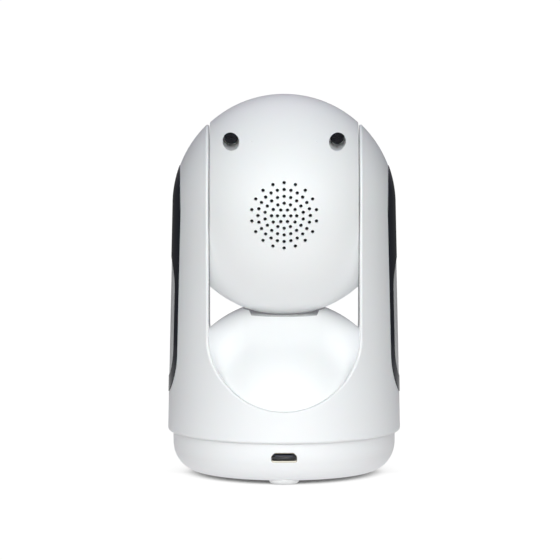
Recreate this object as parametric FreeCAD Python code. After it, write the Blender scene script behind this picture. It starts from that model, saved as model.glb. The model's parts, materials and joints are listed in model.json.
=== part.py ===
"""Pan-and-tilt baby monitor camera, modelled as the pieces it comes apart into.

A round base stands on three feet and holds the power board, a ballast plate and the hub that
everything above turns on. The yoke is a tapered drum whose top is part of a sphere. A wide slot
cut through it from front to back leaves two arms, and an inner cover with a domed floor closes the
slot's walls. The head is a ball with flat sides, hung between the arms on two hollow trunnions.

Frame: millimetres, +Z up, origin on the table under the pan axis, the lens faces -Y, the power
socket faces +Y. The pan axis is Z. The tilt axis runs along X at height TILT_Z.
"""

import FreeCAD, Part

import math
import os

V = FreeCAD.Vector
X, Y, Z = V(1, 0, 0), V(0, 1, 0), V(0, 0, 1)
FAR = 200.0  # longer than the whole camera, for cutting tools
SNUG = 0.12  # gap between fixed pieces that drop into each other

# Overall form
BODY_R = 40.0  # yoke at its lower rim
SHOULDER_R = 38.2  # yoke at the tilt axis, and its spherical top
RIM_Z = 15.0  # yoke's lower edge
RIM_ROUND = 1.1
SKIRT_R = 38.5  # bore of the yoke's lower edge, which hides the base's lip
SKIRT_Z = RIM_Z + 2.0
TILT_Z = 93.0
TILT = V(0, 0, TILT_Z)

# Base
FOOT_H = 1.3
BASE_R = 38.15
BASE_WALL = 1.7
BASE_ROUND_W = 8.75  # the rounded lower edge is a quarter ellipse, this wide
BASE_ROUND_H = 9.9  # and this high
BASE_TOP_Z = RIM_Z - 0.7  # top of the base cover
BASE_LIP_Z = RIM_Z + 1.3  # the base's wall runs on up inside the yoke
BASE_FLOOR_Z = FOOT_H + BASE_WALL
COVER_T = 1.7
COVER_Z = BASE_TOP_Z - COVER_T
FOOT_R = 5.2
FOOT_SOLE_R = 3.7
FOOT_RING_R = 27.3
FOOT_SINK = 0.8
FOOT_ANGLES = (90, 210, 330)
PILLAR_RING_R = 27.0
PILLAR_ANGLES = (30, 150, 270)
PILLAR_JOIN_Z = 7.5

# Power socket
SOCKET_Z = 10.2
SOCKET_W = 8.3
SOCKET_H = 3.0
SOCKET_SLOPE = 1.2
SOCKET_GAP = 0.25
SOCKET_FACE_Y = 37.3
SOCKET_DEPTH = 5.6
BOARD_T = 1.2
BOARD_TOP_Z = SOCKET_Z - SOCKET_H / 2 - 0.02
BOARD_PEG_X = 12.0
BOARD_PEG_Y = 21.0

# Pair button under the base
BUTTON_Y = 14.5
BUTTON_R = 2.9
BUTTON_FLANGE_R = 3.9
BUTTON_TRAVEL = 0.5
BUTTON_FLANGE_Z = BASE_FLOOR_Z + 0.3

# Tripod thread
TRIPOD_INSERT_R = 4.0
TRIPOD_THREAD_R = 2.6
TRIPOD_THREAD_L = 6.0

# Pan drive
MODULE = 0.6
GEAR_TEETH = 45
PINION_TEETH = 15
BACKLASH = 0.1
GEAR_CENTRES = MODULE * (GEAR_TEETH + PINION_TEETH) / 2
GEAR_T = 3.2
GEAR_SCREW_RING_R = 10.4
PAN_MOTOR_ANGLE = 20.0  # where the pinion sits round the pan axis
HUB_R = 8.0
HUB_BORE_R = 4.0
HUB_SCREW_RING_R = 6.1
RUNNING = 0.06  # radial gap of a turning fit
FLOOR_Z = RIM_Z + 3.7
FLOOR_T = 2.0
FLOOR_TOP_Z = FLOOR_Z + FLOOR_T
BUSH_FLANGE_T = 0.8
HUB_TOP_Z = FLOOR_TOP_Z + BUSH_FLANGE_T + 0.3
STOP_RING_R = 31.0
STOP_PIN_R = 1.0

# Stepper motors, both of one kind
CAN_R = 10.0
CAN_L = 13.5
SHAFT_R = 1.5
SHAFT_OFFSET = 6.0
BOSS_R = 3.5
BOSS_L = 1.2
EAR_SPACING = 26.0
EAR_R = 3.0
EAR_T = 0.8

# Small screws of one kind: power board, large gear and retaining washer
SMALL_SCREW_R = 0.85
SMALL_SCREW_L = 4.0
SMALL_HEAD_R = 1.75
SMALL_HEAD_H = 0.9

# Yoke
YOKE_WALL = 2.4
SLOT_HALF = 25.75  # half the gap between the arms
SLOT_OVAL_Z = 50.1  # the slot ends in half an oval
SLOT_OVAL_H = 24.1
SLOT_SHOW = 0.08  # the inner cover starts this far above the slot's lowest point
SLOT_EDGE_ROUND = 0.6
PLATE_T = 1.8  # side plates of the inner cover
PLATE_OUT = SLOT_HALF + PLATE_T
PLATE_LOW_Z = 31.0
DOME_Z = 21.1
DOME_R = 38.8
DOME_T = 2.0
BOWL_R = 38.5
NOTCH_Z = 56.0
NOTCH_HALF = 11.2
NOTCH_BEVEL = 1.6
NOTCH_H = 2.4
FLOOR_BOSS_RING_R = 33.4
FLOOR_BOSS_ANGLES = (45, 135, 225, 315)
PANEL_HALF = 14.2
PANEL_HIGH_Z = TILT_Z + 13.4
PANEL_LOW_Z = 28.4
PANEL_T = 1.4
PANEL_PROUD = 0.2
INSERT_HALF = 10.7
INSERT_HIGH_Z = 75.1
INSERT_LOW_Z = 33.5

# Head
HEAD_R = 38.0
HEAD_HALF = 25.45
HEAD_WALL = 2.0
HEAD_EDGE_ROUND = 0.6
SPLIT_Y = -12.0
TRUNNION_R = 5.5
TRUNNION_BORE_R = 4.0
TRUNNION_END = PLATE_OUT + 1.6
TILT_BUSH_R = 7.0
TILT_FLANGE_R = 8.6
TILT_FLANGE_T = 1.2
WINDOW_R = 21.2
LENS_HOLE_R = 7.2
WELL_X = 18.15
WELL_Z = 23.85
WELL_R = 2.88
WELL_SEAT_Y = 4.0
TOWER_R = 4.2
SCREW_POST_R = 2.8
TOWER_END_Y = 2.0
PINHOLE_X = 11.0
PINHOLE_Z = 24.3
PINHOLE_R = 0.3
PINHOLE_DEPTH = 0.3
GRILLE_RINGS = ((0, 1, 0), (2.27, 6, 0), (4.27, 12, 0), (6.57, 18, 10), (8.88, 24, 0), (11.15, 18, 10))
GRILLE_HOLE_R = 0.6
SPEAKER_R = 13.8
SPEAKER_Y = 31.2  # front rim of the speaker's basket
CHASSIS_Y = 12.4
CHASSIS_T = 1.5
MAIN_BOARD_Y = 15.9
HEAD_BOARD_T = 1.4
SENSOR_BOARD_Y = -22.5
SENSOR_BOARD_R = 27.0
LED_RING_R = 14.2
LED_COUNT = 8
LED_R = 2.4
MIC_Z = -23.4


# ---------------------------------------------------------------- plain shapes


def cyl(radius, low, high, axis=Z):
    """A round bar from one point to the plane of another, along axis."""
    return Part.makeCylinder(radius, (high - low).dot(axis), low, axis)


def ring(outer, inner, low, high, axis=Z):
    return cyl(outer, low, high, axis).cut(cyl(inner, low, high, axis))


def block(low, high):
    size = high - low
    return Part.makeBox(size.x, size.y, size.z, low)


def ball(radius, centre):
    return Part.makeSphere(radius, centre)


def polar(radius, degrees, z=0.0):
    angle = math.radians(degrees)
    return V(radius * math.cos(angle), radius * math.sin(angle), z)


def union(shapes):
    shapes = list(shapes)
    return shapes[0].multiFuse(shapes[1:]).removeSplitter() if len(shapes) > 1 else shapes[0]


def group(shapes):
    """Separate solids that share a node."""
    return Part.makeCompound(list(shapes))


def mirrored(shape):
    return shape.mirror(V(0, 0, 0), X)


def line(a, b):
    return Part.LineSegment(a, b).toShape()


def arc(a, middle, b):
    return Part.Arc(a, middle, b).toShape()


def turned(edges):
    """The solid that a closed outline in the XZ plane sweeps about Z."""
    face = Part.Face(Part.Wire(edges))
    return face.revolve(V(0, 0, 0), Z, 360)


def rounded_plate(half_y, low_z, high_z, corner, low_x, high_x):
    """A bar along X whose section in YZ is a rectangle with round corners."""
    k = corner * (1 - math.sqrt(0.5))

    def at(y, z):
        return V(low_x, y, z)

    edges = [
        line(at(-half_y, low_z + corner), at(-half_y, high_z - corner)),
        arc(at(-half_y, high_z - corner), at(-half_y + k, high_z - k), at(-half_y + corner, high_z)),
        line(at(-half_y + corner, high_z), at(half_y - corner, high_z)),
        arc(at(half_y - corner, high_z), at(half_y - k, high_z - k), at(half_y, high_z - corner)),
        line(at(half_y, high_z - corner), at(half_y, low_z + corner)),
        arc(at(half_y, low_z + corner), at(half_y - k, low_z + k), at(half_y - corner, low_z)),
        line(at(half_y - corner, low_z), at(-half_y + corner, low_z)),
        arc(at(-half_y + corner, low_z), at(-half_y + k, low_z + k), at(-half_y, low_z + corner)),
    ]
    return Part.Face(Part.Wire(edges)).extrude(V(high_x - low_x, 0, 0))


def screw(tip, head_seat, out, radius, head_r, head_h):
    """A pan-head screw with a cross recess. It points from head_seat to tip, out is away from the tip."""
    shank = cyl(radius, tip, head_seat, out)
    head = cyl(head_r, head_seat, head_seat + out * head_h, out)
    top = head_seat + out * head_h
    side = out.cross(X if abs(out.x) < 0.5 else Y)
    other = out.cross(side)
    for a, b in ((side, other), (other, side)):
        corner = top - out * (head_h * 0.6) - a * (head_r * 0.6) - b * (head_r * 0.12)
        far = top + out * 0.1 + a * (head_r * 0.6) + b * (head_r * 0.12)
        low = V(min(corner.x, far.x), min(corner.y, far.y), min(corner.z, far.z))
        high = V(max(corner.x, far.x), max(corner.y, far.y), max(corner.z, far.z))
        head = head.cut(block(low, high))
    return shank.fuse(head).removeSplitter()


def wire_run(points, bends, radius):
    """A round lead along straight runs joined by arcs of the given bend radii."""
    edges = []
    start = points[0]
    for before, corner, after, bend in zip(points, points[1:], points[2:], bends):
        back = (before - corner).normalize()
        ahead = (after - corner).normalize()
        half = back.getAngle(ahead) / 2
        reach = bend / math.tan(half)
        middle = (back + ahead).normalize() * (bend / math.sin(half) - bend)
        edges += [line(start, corner + back * reach)]
        edges += [arc(corner + back * reach, corner + middle, corner + ahead * reach)]
        start = corner + ahead * reach
    edges.append(line(start, points[-1]))
    path = Part.Wire(edges)
    section = Part.Wire([Part.Circle(points[0], (points[1] - points[0]).normalize(), radius).toShape()])
    return path.makePipeShell([section], True, False)


# ---------------------------------------------------------------- gears


def gear(teeth, thickness, bore_r, base, phase):
    """A spur gear about Z with involute flanks, a little thin so that a pair runs free."""
    pitch_r = MODULE * teeth / 2
    base_r = pitch_r * math.cos(math.radians(20))
    tip_r = pitch_r + 0.9 * MODULE
    root_r = pitch_r - 1.2 * MODULE

    def involute(r):
        pressure = math.acos(min(1.0, base_r / r))
        return math.tan(pressure) - pressure

    half = math.pi / (2 * teeth) - BACKLASH / (2 * pitch_r) + involute(pitch_r)

    def at(r, angle):
        return V(r * math.cos(angle), r * math.sin(angle), 0)

    flank_low = max(base_r, root_r + 0.05)
    radii = [flank_low + (tip_r - flank_low) * k / 4 for k in range(5)]
    edges = []
    for k in range(teeth):
        centre = 2 * math.pi * k / teeth
        rise = [at(r, centre - half + involute(r)) for r in radii]
        fall = [at(r, centre + half - involute(r)) for r in reversed(radii)]
        foot, heel = at(root_r, centre - half), at(root_r, centre + half)
        following = centre + 2 * math.pi / teeth
        edges.append(line(foot, rise[0]))
        for side in (rise, fall):
            curve = Part.BSplineCurve()
            curve.interpolate(side)
            edges.append(curve.toShape())
            if side is rise:
                edges.append(arc(rise[-1], at(tip_r, centre), fall[0]))
        edges.append(line(fall[-1], heel))
        edges.append(arc(heel, at(root_r, (centre + following) / 2), at(root_r, following - half)))
    body = Part.Face(Part.Wire(Part.__sortEdges__(edges))).extrude(V(0, 0, thickness))
    body = body.cut(cyl(bore_r, V(0, 0, -1), V(0, 0, thickness + 1)))
    body.rotate(V(0, 0, 0), Z, phase)
    body.translate(base)
    return body


# ---------------------------------------------------------------- base


def base_form(inset, top_z=BASE_LIP_Z):
    """The base's outer form, shrunk by inset."""
    low = FOOT_H + inset
    wall_z = FOOT_H + BASE_ROUND_H
    flat_r = BASE_R - BASE_ROUND_W
    r = BASE_R - inset
    centre = V(flat_r, 0, wall_z)
    oval = Part.Ellipse(centre - Z * (wall_z - low), centre + X * (r - flat_r), centre)
    return turned([
        line(V(0, 0, low), V(flat_r, 0, low)),
        Part.ArcOfEllipse(oval, 0, math.pi / 2).toShape(),
        line(V(r, 0, wall_z), V(r, 0, top_z)),
        line(V(r, 0, top_z), V(0, 0, top_z)),
        line(V(0, 0, top_z), V(0, 0, low)),
    ])


def socket_section(grow, low_y, high_y):
    """The power socket's outline, wide below with sloping upper corners, swept along Y."""
    half = SOCKET_W / 2 + grow
    top = SOCKET_Z + SOCKET_H / 2 + grow
    low = SOCKET_Z - SOCKET_H / 2 - grow
    slope = SOCKET_SLOPE
    corners = [
        V(-half, low_y, low),
        V(half, low_y, low),
        V(half, low_y, top - slope),
        V(half - slope, low_y, top),
        V(-half + slope, low_y, top),
        V(-half, low_y, top - slope),
    ]
    bar = Part.Face(Part.makePolygon(corners + corners[:1])).extrude(V(0, high_y - low_y, 0))
    along = [e for e in bar.Edges if abs(e.tangentAt(e.FirstParameter).y) > 0.99]
    return bar.makeFillet(0.6 + grow * 0.5, along)


def around(radius, angles, low_z, high_z, ring_r):
    """Upright round bars spaced round the pan axis."""
    return [cyl(radius, polar(ring_r, a, low_z), polar(ring_r, a, high_z)) for a in angles]


def board_pegs(radius, low_z, high_z):
    spots = (V(x, BOARD_PEG_Y, 0) for x in (-BOARD_PEG_X, BOARD_PEG_X))
    return [cyl(radius, p + Z * low_z, p + Z * high_z) for p in spots]


def base_shell():
    shell = base_form(0).cut(base_form(BASE_WALL, BASE_LIP_Z + 1))
    root = BASE_FLOOR_Z - 0.5
    adds = [cyl(6.2, V(0, 0, root), V(0, 0, FOOT_H + TRIPOD_THREAD_L + 1.4))]
    adds += around(3.2, PILLAR_ANGLES, root, PILLAR_JOIN_Z - 0.1, PILLAR_RING_R)
    adds += board_pegs(2.2, root, BOARD_TOP_Z - BOARD_T)
    shell = union([shell] + [a.common(base_form(0.5)) for a in adds])
    cuts = [socket_section(SOCKET_GAP, 30.0, 45.0)]
    cuts.append(cyl(TRIPOD_INSERT_R, V(0, 0, 0), V(0, 0, FOOT_H + TRIPOD_THREAD_L + 0.3)))
    cuts.append(cyl(BUTTON_R + 0.3, V(0, BUTTON_Y, 0), V(0, BUTTON_Y, BASE_FLOOR_Z + 1)))
    cuts += around(FOOT_R + 0.1, FOOT_ANGLES, 0, FOOT_H + FOOT_SINK, FOOT_RING_R)
    cuts += around(2.6, PILLAR_ANGLES, 0, 5.4, PILLAR_RING_R)
    cuts += around(1.35, PILLAR_ANGLES, 5.0, 8.0, PILLAR_RING_R)
    cuts += board_pegs(SMALL_SCREW_R, BASE_FLOOR_Z + 0.5, 9.0)
    for tool in cuts:
        shell = shell.cut(tool)
    return shell


def base_cover():
    """The disc that closes the base, with the hollow hub the yoke turns on."""
    disc = cyl(BASE_R - BASE_WALL - SNUG, V(0, 0, COVER_Z), V(0, 0, BASE_TOP_Z))
    hub = cyl(HUB_R, V(0, 0, COVER_Z), V(0, 0, HUB_TOP_Z))
    stop = cyl(STOP_PIN_R, V(0, -STOP_RING_R, BASE_TOP_Z - 0.5), V(0, -STOP_RING_R, FLOOR_Z - 1.9))
    pillars = around(3.0, PILLAR_ANGLES, PILLAR_JOIN_Z, COVER_Z + 0.5, PILLAR_RING_R)
    cover = union([disc, hub, stop] + pillars)
    cuts = [cyl(HUB_BORE_R, V(0, 0, 0), V(0, 0, HUB_TOP_Z + 1))]
    cuts += around(1.1, PILLAR_ANGLES, 7.0, COVER_Z + 0.6, PILLAR_RING_R)
    cuts += around(SMALL_SCREW_R, PILLAR_ANGLES, COVER_Z - 1, BASE_TOP_Z + 1, GEAR_SCREW_RING_R)
    cuts += around(SMALL_SCREW_R, PILLAR_ANGLES, HUB_TOP_Z - 3.4, HUB_TOP_Z + 1, HUB_SCREW_RING_R)
    for tool in cuts:
        cover = cover.cut(tool)
    return cover


def ballast_plate():
    """A steel plate that keeps the camera from tipping, cut away under the power board."""
    low = BASE_FLOOR_Z + 0.1
    high = low + 2.8
    plate = ring(27.5, 6.5, V(0, 0, low), V(0, 0, high))
    plate = plate.cut(block(V(-30, 7.5, low - 1), V(30, 40, high + 1)))
    for tool in around(3.6, PILLAR_ANGLES, low - 1, high + 1, PILLAR_RING_R):
        plate = plate.cut(tool)
    return plate


def rubber_feet():
    high = FOOT_H + FOOT_SINK
    sole_edge = V(FOOT_SOLE_R, 0, 0)
    foot = turned([
        line(V(0, 0, 0), sole_edge),
        arc(sole_edge, V(4.8, 0, 0.42), V(FOOT_R, 0, FOOT_H)),
        line(V(FOOT_R, 0, FOOT_H), V(FOOT_R, 0, high)),
        line(V(FOOT_R, 0, high), V(0, 0, high)),
        line(V(0, 0, high), V(0, 0, 0)),
    ])
    return group(foot.translated(polar(FOOT_RING_R, a)) for a in FOOT_ANGLES)


def tripod_insert():
    low = FOOT_H + 0.2
    return ring(TRIPOD_INSERT_R, TRIPOD_THREAD_R, V(0, 0, low), V(0, 0, low + TRIPOD_THREAD_L))


def power_board():
    board = block(V(-15, 9.0, BOARD_TOP_Z - BOARD_T), V(15, 34.0, BOARD_TOP_Z))
    board = board.common(base_form(BASE_WALL + 0.4))
    for tool in board_pegs(SMALL_SCREW_R + 0.1, 0, 20):
        board = board.cut(tool)
    return board


def power_board_parts():
    """Regulator, inductor, capacitors and the loom's header, standing on the power board."""
    z = BOARD_TOP_Z
    return group([
        block(V(-9.5, 24.0, z), V(-5.5, 28.0, z + 1.2)),
        block(V(5.0, 25.0, z), V(9.0, 29.0, z + 2.0)),
        cyl(1.9, V(-12.0, 28.5, z), V(-12.0, 28.5, z + 2.6)),
        cyl(1.9, V(12.0, 28.5, z), V(12.0, 28.5, z + 2.6)),
        block(V(-3.2, 17.0, z), V(3.2, 20.0, z + 3.0)),
    ])


def small_base_screws():
    """Eight equal screws: two on the power board, three in the gear, three in the washer."""
    seats = [V(x, BOARD_PEG_Y, BOARD_TOP_Z) for x in (-BOARD_PEG_X, BOARD_PEG_X)]
    seats += [polar(GEAR_SCREW_RING_R, a, BASE_TOP_Z + 1.9) for a in PILLAR_ANGLES]
    seats += [polar(HUB_SCREW_RING_R, a, HUB_TOP_Z + 1.0) for a in PILLAR_ANGLES]
    return group(
        screw(seat - Z * SMALL_SCREW_L, seat, Z, SMALL_SCREW_R, SMALL_HEAD_R, SMALL_HEAD_H)
        for seat in seats
    )


def socket_shell():
    """The power socket's folded metal shell, open at the back of the camera."""
    back_y = SOCKET_FACE_Y - SOCKET_DEPTH
    outer = socket_section(0, back_y, SOCKET_FACE_Y)
    return outer.cut(socket_section(-0.3, back_y + 0.3, SOCKET_FACE_Y + 1))


def socket_tongue():
    back_y = SOCKET_FACE_Y - SOCKET_DEPTH + 0.3
    tongue = block(V(-2.9, back_y, SOCKET_Z + 0.05), V(2.9, SOCKET_FACE_Y - 0.9, SOCKET_Z + 0.6))
    root = block(V(-3.0, back_y, SOCKET_Z - 0.9), V(3.0, back_y + 1.2, SOCKET_Z + 0.6))
    return tongue.fuse(root).removeSplitter()


def pair_button():
    """A dished push button under the base, with the stem that works its switch."""
    at = V(0, BUTTON_Y, 0)
    face_z = FOOT_H + 0.4
    flange_z = BUTTON_FLANGE_Z
    cap = cyl(BUTTON_R, at + Z * face_z, at + Z * (flange_z + 0.6))
    flange = cyl(BUTTON_FLANGE_R, at + Z * flange_z, at + Z * (flange_z + 0.6))
    stem = cyl(1.1, at + Z * flange_z, at + Z * 5.9)
    return union([cap, flange, stem]).cut(ball(8.0, at + Z * (face_z - 7.6)))


def push_switch():
    top = BOARD_TOP_Z - BOARD_T
    body = block(V(-3, BUTTON_Y - 3, 5.1), V(3, BUTTON_Y + 3, top))
    return body.cut(cyl(1.4, V(0, BUTTON_Y, 4.0), V(0, BUTTON_Y, 6.7)))


def base_screws():
    seats = (polar(PILLAR_RING_R, a, 5.4) for a in PILLAR_ANGLES)
    return group(screw(seat + Z * 6.6, seat, -Z, 1.1, 2.3, 1.4) for seat in seats)


def base_loom():
    """Leads from the power board's header up the middle of the hub, as far as the pan bearing."""
    top = V(0, 0, HUB_TOP_Z + 2.0)
    header = V(0, 16.9, BOARD_TOP_Z + 1.9)
    return wire_run([header, V(0, 0, header.z), top], [3.5], 1.1)


# ---------------------------------------------------------------- pan drive


def pan_gear():
    """The large gear, fixed on the base cover round the hub."""
    base = V(0, 0, BASE_TOP_Z)
    wheel = gear(GEAR_TEETH, GEAR_T, HUB_R + 0.05, base, PAN_MOTOR_ANGLE)
    for tool in around(SMALL_SCREW_R, PILLAR_ANGLES, 0, 30, GEAR_SCREW_RING_R):
        wheel = wheel.cut(tool)
    for tool in around(SMALL_HEAD_R + 0.2, PILLAR_ANGLES, BASE_TOP_Z + 1.9, 30, GEAR_SCREW_RING_R):
        wheel = wheel.cut(tool)
    return wheel


def pan_pinion():
    """The small gear on the pan motor's shaft. A gap between its teeth faces the large gear."""
    phase = PAN_MOTOR_ANGLE + 180.0 + 180.0 / PINION_TEETH
    return gear(PINION_TEETH, 2.7, SHAFT_R, polar(GEAR_CENTRES, PAN_MOTOR_ANGLE, BASE_TOP_Z + 0.4), phase)


def turned_to(shape, across, along, out, at):
    """Place a shape made at the origin: its X goes along across, Y along along, Z along out."""
    frame = FreeCAD.Matrix(
        across.x, along.x, out.x, at.x,
        across.y, along.y, out.y, at.y,
        across.z, along.z, out.z, at.z,
    )
    return shape.transformGeometry(frame)


def motor(shaft_at, out, to_can):
    """A geared stepper. Its face is at shaft_at and its shaft points along out."""
    centre = shaft_at + to_can * SHAFT_OFFSET
    ear_way = to_can.cross(out)
    pieces = [cyl(CAN_R, centre - out * CAN_L, centre, out)]
    pieces.append(cyl(BOSS_R, shaft_at - out * 0.5, shaft_at + out * BOSS_L, out))
    strap = Part.makeBox(EAR_SPACING, 2 * EAR_R, EAR_T, V(-EAR_SPACING / 2, -EAR_R, -EAR_T))
    pieces.append(turned_to(strap, ear_way, to_can * -1, out, centre))
    pieces += [cyl(EAR_R, ear - out * EAR_T, ear, out) for ear in motor_ears(shaft_at, out, to_can)]
    body = union(pieces)
    for ear in motor_ears(shaft_at, out, to_can):
        body = body.cut(cyl(1.25, ear - out * 5, ear + out * 5, out))
    return body.cut(cyl(SHAFT_R + RUNNING, shaft_at - out * 6, shaft_at + out * 5, out))


def motor_ears(shaft_at, out, to_can):
    centre = shaft_at + to_can * SHAFT_OFFSET
    return [centre + to_can.cross(out) * (side * EAR_SPACING / 2) for side in (-1, 1)]


PAN_SHAFT_AT = polar(GEAR_CENTRES, PAN_MOTOR_ANGLE, FLOOR_TOP_Z)
PAN_CAN_WAY = polar(1, PAN_MOTOR_ANGLE + 20)
TILT_SHAFT_AT = TILT + X * (HEAD_HALF - HEAD_WALL)
TILT_CAN_WAY = -Y


def pan_motor():
    return motor(PAN_SHAFT_AT, -Z, PAN_CAN_WAY)


def pan_motor_shaft():
    low = polar(GEAR_CENTRES, PAN_MOTOR_ANGLE, BASE_TOP_Z + 0.4)
    return cyl(SHAFT_R, low, PAN_SHAFT_AT + Z * 5)


def motor_screws(shaft_at, out, to_can):
    ears = motor_ears(shaft_at, out, to_can)
    return group(screw(e + out * 1.6, e - out * EAR_T, -out, 1.2, 2.3, 1.3) for e in ears)


def pan_bush():
    """The flanged bush the yoke's floor turns in, round the hub."""
    flange = ring(HUB_R + 2.2, HUB_R + RUNNING, V(0, 0, FLOOR_TOP_Z), V(0, 0, FLOOR_TOP_Z + BUSH_FLANGE_T))
    sleeve = ring(HUB_R + 1.3, HUB_R + RUNNING, V(0, 0, FLOOR_Z - 0.5), V(0, 0, FLOOR_TOP_Z))
    return flange.fuse(sleeve).removeSplitter()


def pan_retainer():
    """The washer on top of the hub that keeps the yoke down."""
    washer = ring(HUB_R + 1.4, HUB_BORE_R, V(0, 0, HUB_TOP_Z), V(0, 0, HUB_TOP_Z + 1.0))
    for tool in around(SMALL_SCREW_R, PILLAR_ANGLES, 20, 30, HUB_SCREW_RING_R):
        washer = washer.cut(tool)
    return washer


# ---------------------------------------------------------------- yoke


def yoke_form(inset, low_z=RIM_Z, rim=RIM_ROUND):
    """The yoke's outer form, shrunk by inset: a tapered drum with a spherical top."""
    low_r = BODY_R - inset
    top_r = SHOULDER_R - inset
    k = rim * (1 - math.sqrt(0.5))
    lean = (top_r - low_r) / (TILT_Z - low_z)
    start = V(low_r + lean * rim, 0, low_z + rim)
    crown = TILT + V(top_r, 0, top_r) * math.sqrt(0.5)
    return turned([
        line(V(0, 0, low_z), V(low_r - rim, 0, low_z)),
        arc(V(low_r - rim, 0, low_z), V(low_r - k, 0, low_z + k), start),
        line(start, V(top_r, 0, TILT_Z)),
        arc(V(top_r, 0, TILT_Z), crown, TILT + Z * top_r),
        line(TILT + Z * top_r, V(0, 0, low_z)),
    ])


def yoke_inside(inset):
    """The same form, long enough below to cut right through the rim."""
    return yoke_form(inset, RIM_Z - 2, 0.2)


def slot_prism(inset):
    """The slot through the yoke along Y: straight sides, and half an oval below."""
    half = SLOT_HALF - inset
    centre = V(0, -60, SLOT_OVAL_Z)
    oval = Part.Ellipse(centre + X * half, centre - Z * (SLOT_OVAL_H - inset), centre)
    lower = Part.ArcOfEllipse(oval, 0, math.pi).toShape()
    right = centre + X * half
    left = centre - X * half
    up = Z * 120
    edges = [lower, line(left, left + up), line(left + up, right + up), line(right + up, right)]
    return Part.Face(Part.Wire(edges)).extrude(V(0, 120, 0))


def spots(edge, count=7):
    return [] if edge.Degenerated else edge.discretize(count)


def outer_slot_edges(skin):
    """The edges where the slot meets the yoke's outer surface."""
    surface = yoke_form(0).Shells[0]
    slot = slot_prism(0).Shells[0]
    found = []
    for edge in skin.Edges:
        points = [Part.Vertex(p) for p in spots(edge)]
        both = [max(surface.distToShape(p)[0], slot.distToShape(p)[0]) for p in points]
        if both and max(both) < 1e-3:
            found.append(edge)
    return found


def side_bar(half_y, low_z, high_z, grow, side):
    """A bar out through one arm, with fully rounded ends."""
    bar = rounded_plate(half_y + grow, low_z - grow, high_z + grow, half_y + grow - 0.05, 25.0, 60.0)
    return bar if side > 0 else mirrored(bar)


def panel_bar(grow, side):
    return side_bar(PANEL_HALF, PANEL_LOW_Z, PANEL_HIGH_Z, grow, side)


def insert_bar(grow, side):
    return side_bar(INSERT_HALF, INSERT_LOW_Z, INSERT_HIGH_Z, grow, side)


def yoke_shell():
    """The outer skin with both arms, recessed on each side for the dark panel."""
    skin = yoke_form(0).cut(yoke_inside(YOKE_WALL)).cut(slot_prism(0))
    skin = skin.makeFillet(SLOT_EDGE_ROUND, outer_slot_edges(skin))
    skin = skin.cut(cyl(SKIRT_R, V(0, 0, RIM_Z - 1), V(0, 0, SKIRT_Z)))
    bosses = around(3.4, FLOOR_BOSS_ANGLES, FLOOR_TOP_Z + 0.05, FLOOR_Z + 9, FLOOR_BOSS_RING_R + 1.2)
    skin = union([skin] + [b.common(yoke_inside(YOKE_WALL - 0.6)) for b in bosses])
    for tool in around(1.0, FLOOR_BOSS_ANGLES, FLOOR_Z, FLOOR_Z + 8.2, FLOOR_BOSS_RING_R):
        skin = skin.cut(tool)
    for side in (-1, 1):
        skin = skin.cut(panel_bar(SNUG, side).cut(yoke_inside(PANEL_T + 0.05)))
    return skin


def dome_form():
    """The domed floor between the arms, hollowed for the head and notched from front to back."""
    dome = ball(DOME_R, V(0, 0, DOME_Z)).cut(ball(BOWL_R, TILT))
    wide = NOTCH_HALF + NOTCH_BEVEL
    high = NOTCH_Z + NOTCH_H
    corners = [
        V(-NOTCH_HALF, -50, NOTCH_Z),
        V(NOTCH_HALF, -50, NOTCH_Z),
        V(wide, -50, high),
        V(-wide, -50, high),
    ]
    notch = Part.Face(Part.makePolygon(corners + corners[:1])).extrude(V(0, 100, 0))
    return dome.cut(notch)


def under_dome():
    """The space below the dome's wall."""
    void = ball(DOME_R - DOME_T, V(0, 0, DOME_Z)).cut(ball(BOWL_R + DOME_T, TILT))
    return void.cut(block(V(-50, -50, NOTCH_Z - DOME_T), V(50, 50, 100)))


def inner_cover():
    """Dome and side plates in one moulding: it closes the slot and carries the tilt bushes."""
    core = yoke_inside(YOKE_WALL + SNUG)
    core = core.common(block(V(-PLATE_OUT, -50, PLATE_LOW_Z), V(PLATE_OUT, 50, 150)))
    reach = slot_prism(0.03).fuse(core)
    void = under_dome()
    pieces = [dome_form().common(reach).cut(void)]
    for low, high in ((SLOT_HALF, PLATE_OUT), (-PLATE_OUT, -SLOT_HALF)):
        pieces.append(core.common(block(V(low, -50, PLATE_LOW_Z), V(high, 50, 150))).cut(void))
    cover = union(pieces)
    cover = cover.cut(block(V(-60, -60, 0), V(60, 60, SLOT_OVAL_Z - SLOT_OVAL_H + SLOT_SHOW)))
    return cover.cut(cyl(TILT_BUSH_R, TILT - X * 50, TILT + X * 50, X))


def yoke_floor():
    """The plate that closes the yoke from below and carries the pan motor."""
    radius = BODY_R - YOKE_WALL - 0.28
    plate = cyl(radius, V(0, 0, FLOOR_Z), V(0, 0, FLOOR_TOP_Z))
    stop = cyl(STOP_PIN_R, V(0, STOP_RING_R, BASE_TOP_Z + 0.5), V(0, STOP_RING_R, FLOOR_Z + 0.5))
    plate = plate.fuse(stop).removeSplitter()
    cuts = [cyl(HUB_R + 1.3, V(0, 0, 0), V(0, 0, 40))]
    cuts.append(cyl(BOSS_R + 0.2, PAN_SHAFT_AT - Z * 10, PAN_SHAFT_AT + Z))
    cuts += [cyl(1.2, e - Z * 10, e + Z) for e in motor_ears(PAN_SHAFT_AT, -Z, PAN_CAN_WAY)]
    cuts += around(1.15, FLOOR_BOSS_ANGLES, 0, 30, FLOOR_BOSS_RING_R)
    for tool in cuts:
        plate = plate.cut(tool)
    return plate


def yoke_floor_screws():
    seats = (polar(FLOOR_BOSS_RING_R, a, FLOOR_Z) for a in FLOOR_BOSS_ANGLES)
    return group(screw(seat + Z * 8.0, seat, -Z, 1.0, 2.2, 1.3) for seat in seats)


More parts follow.
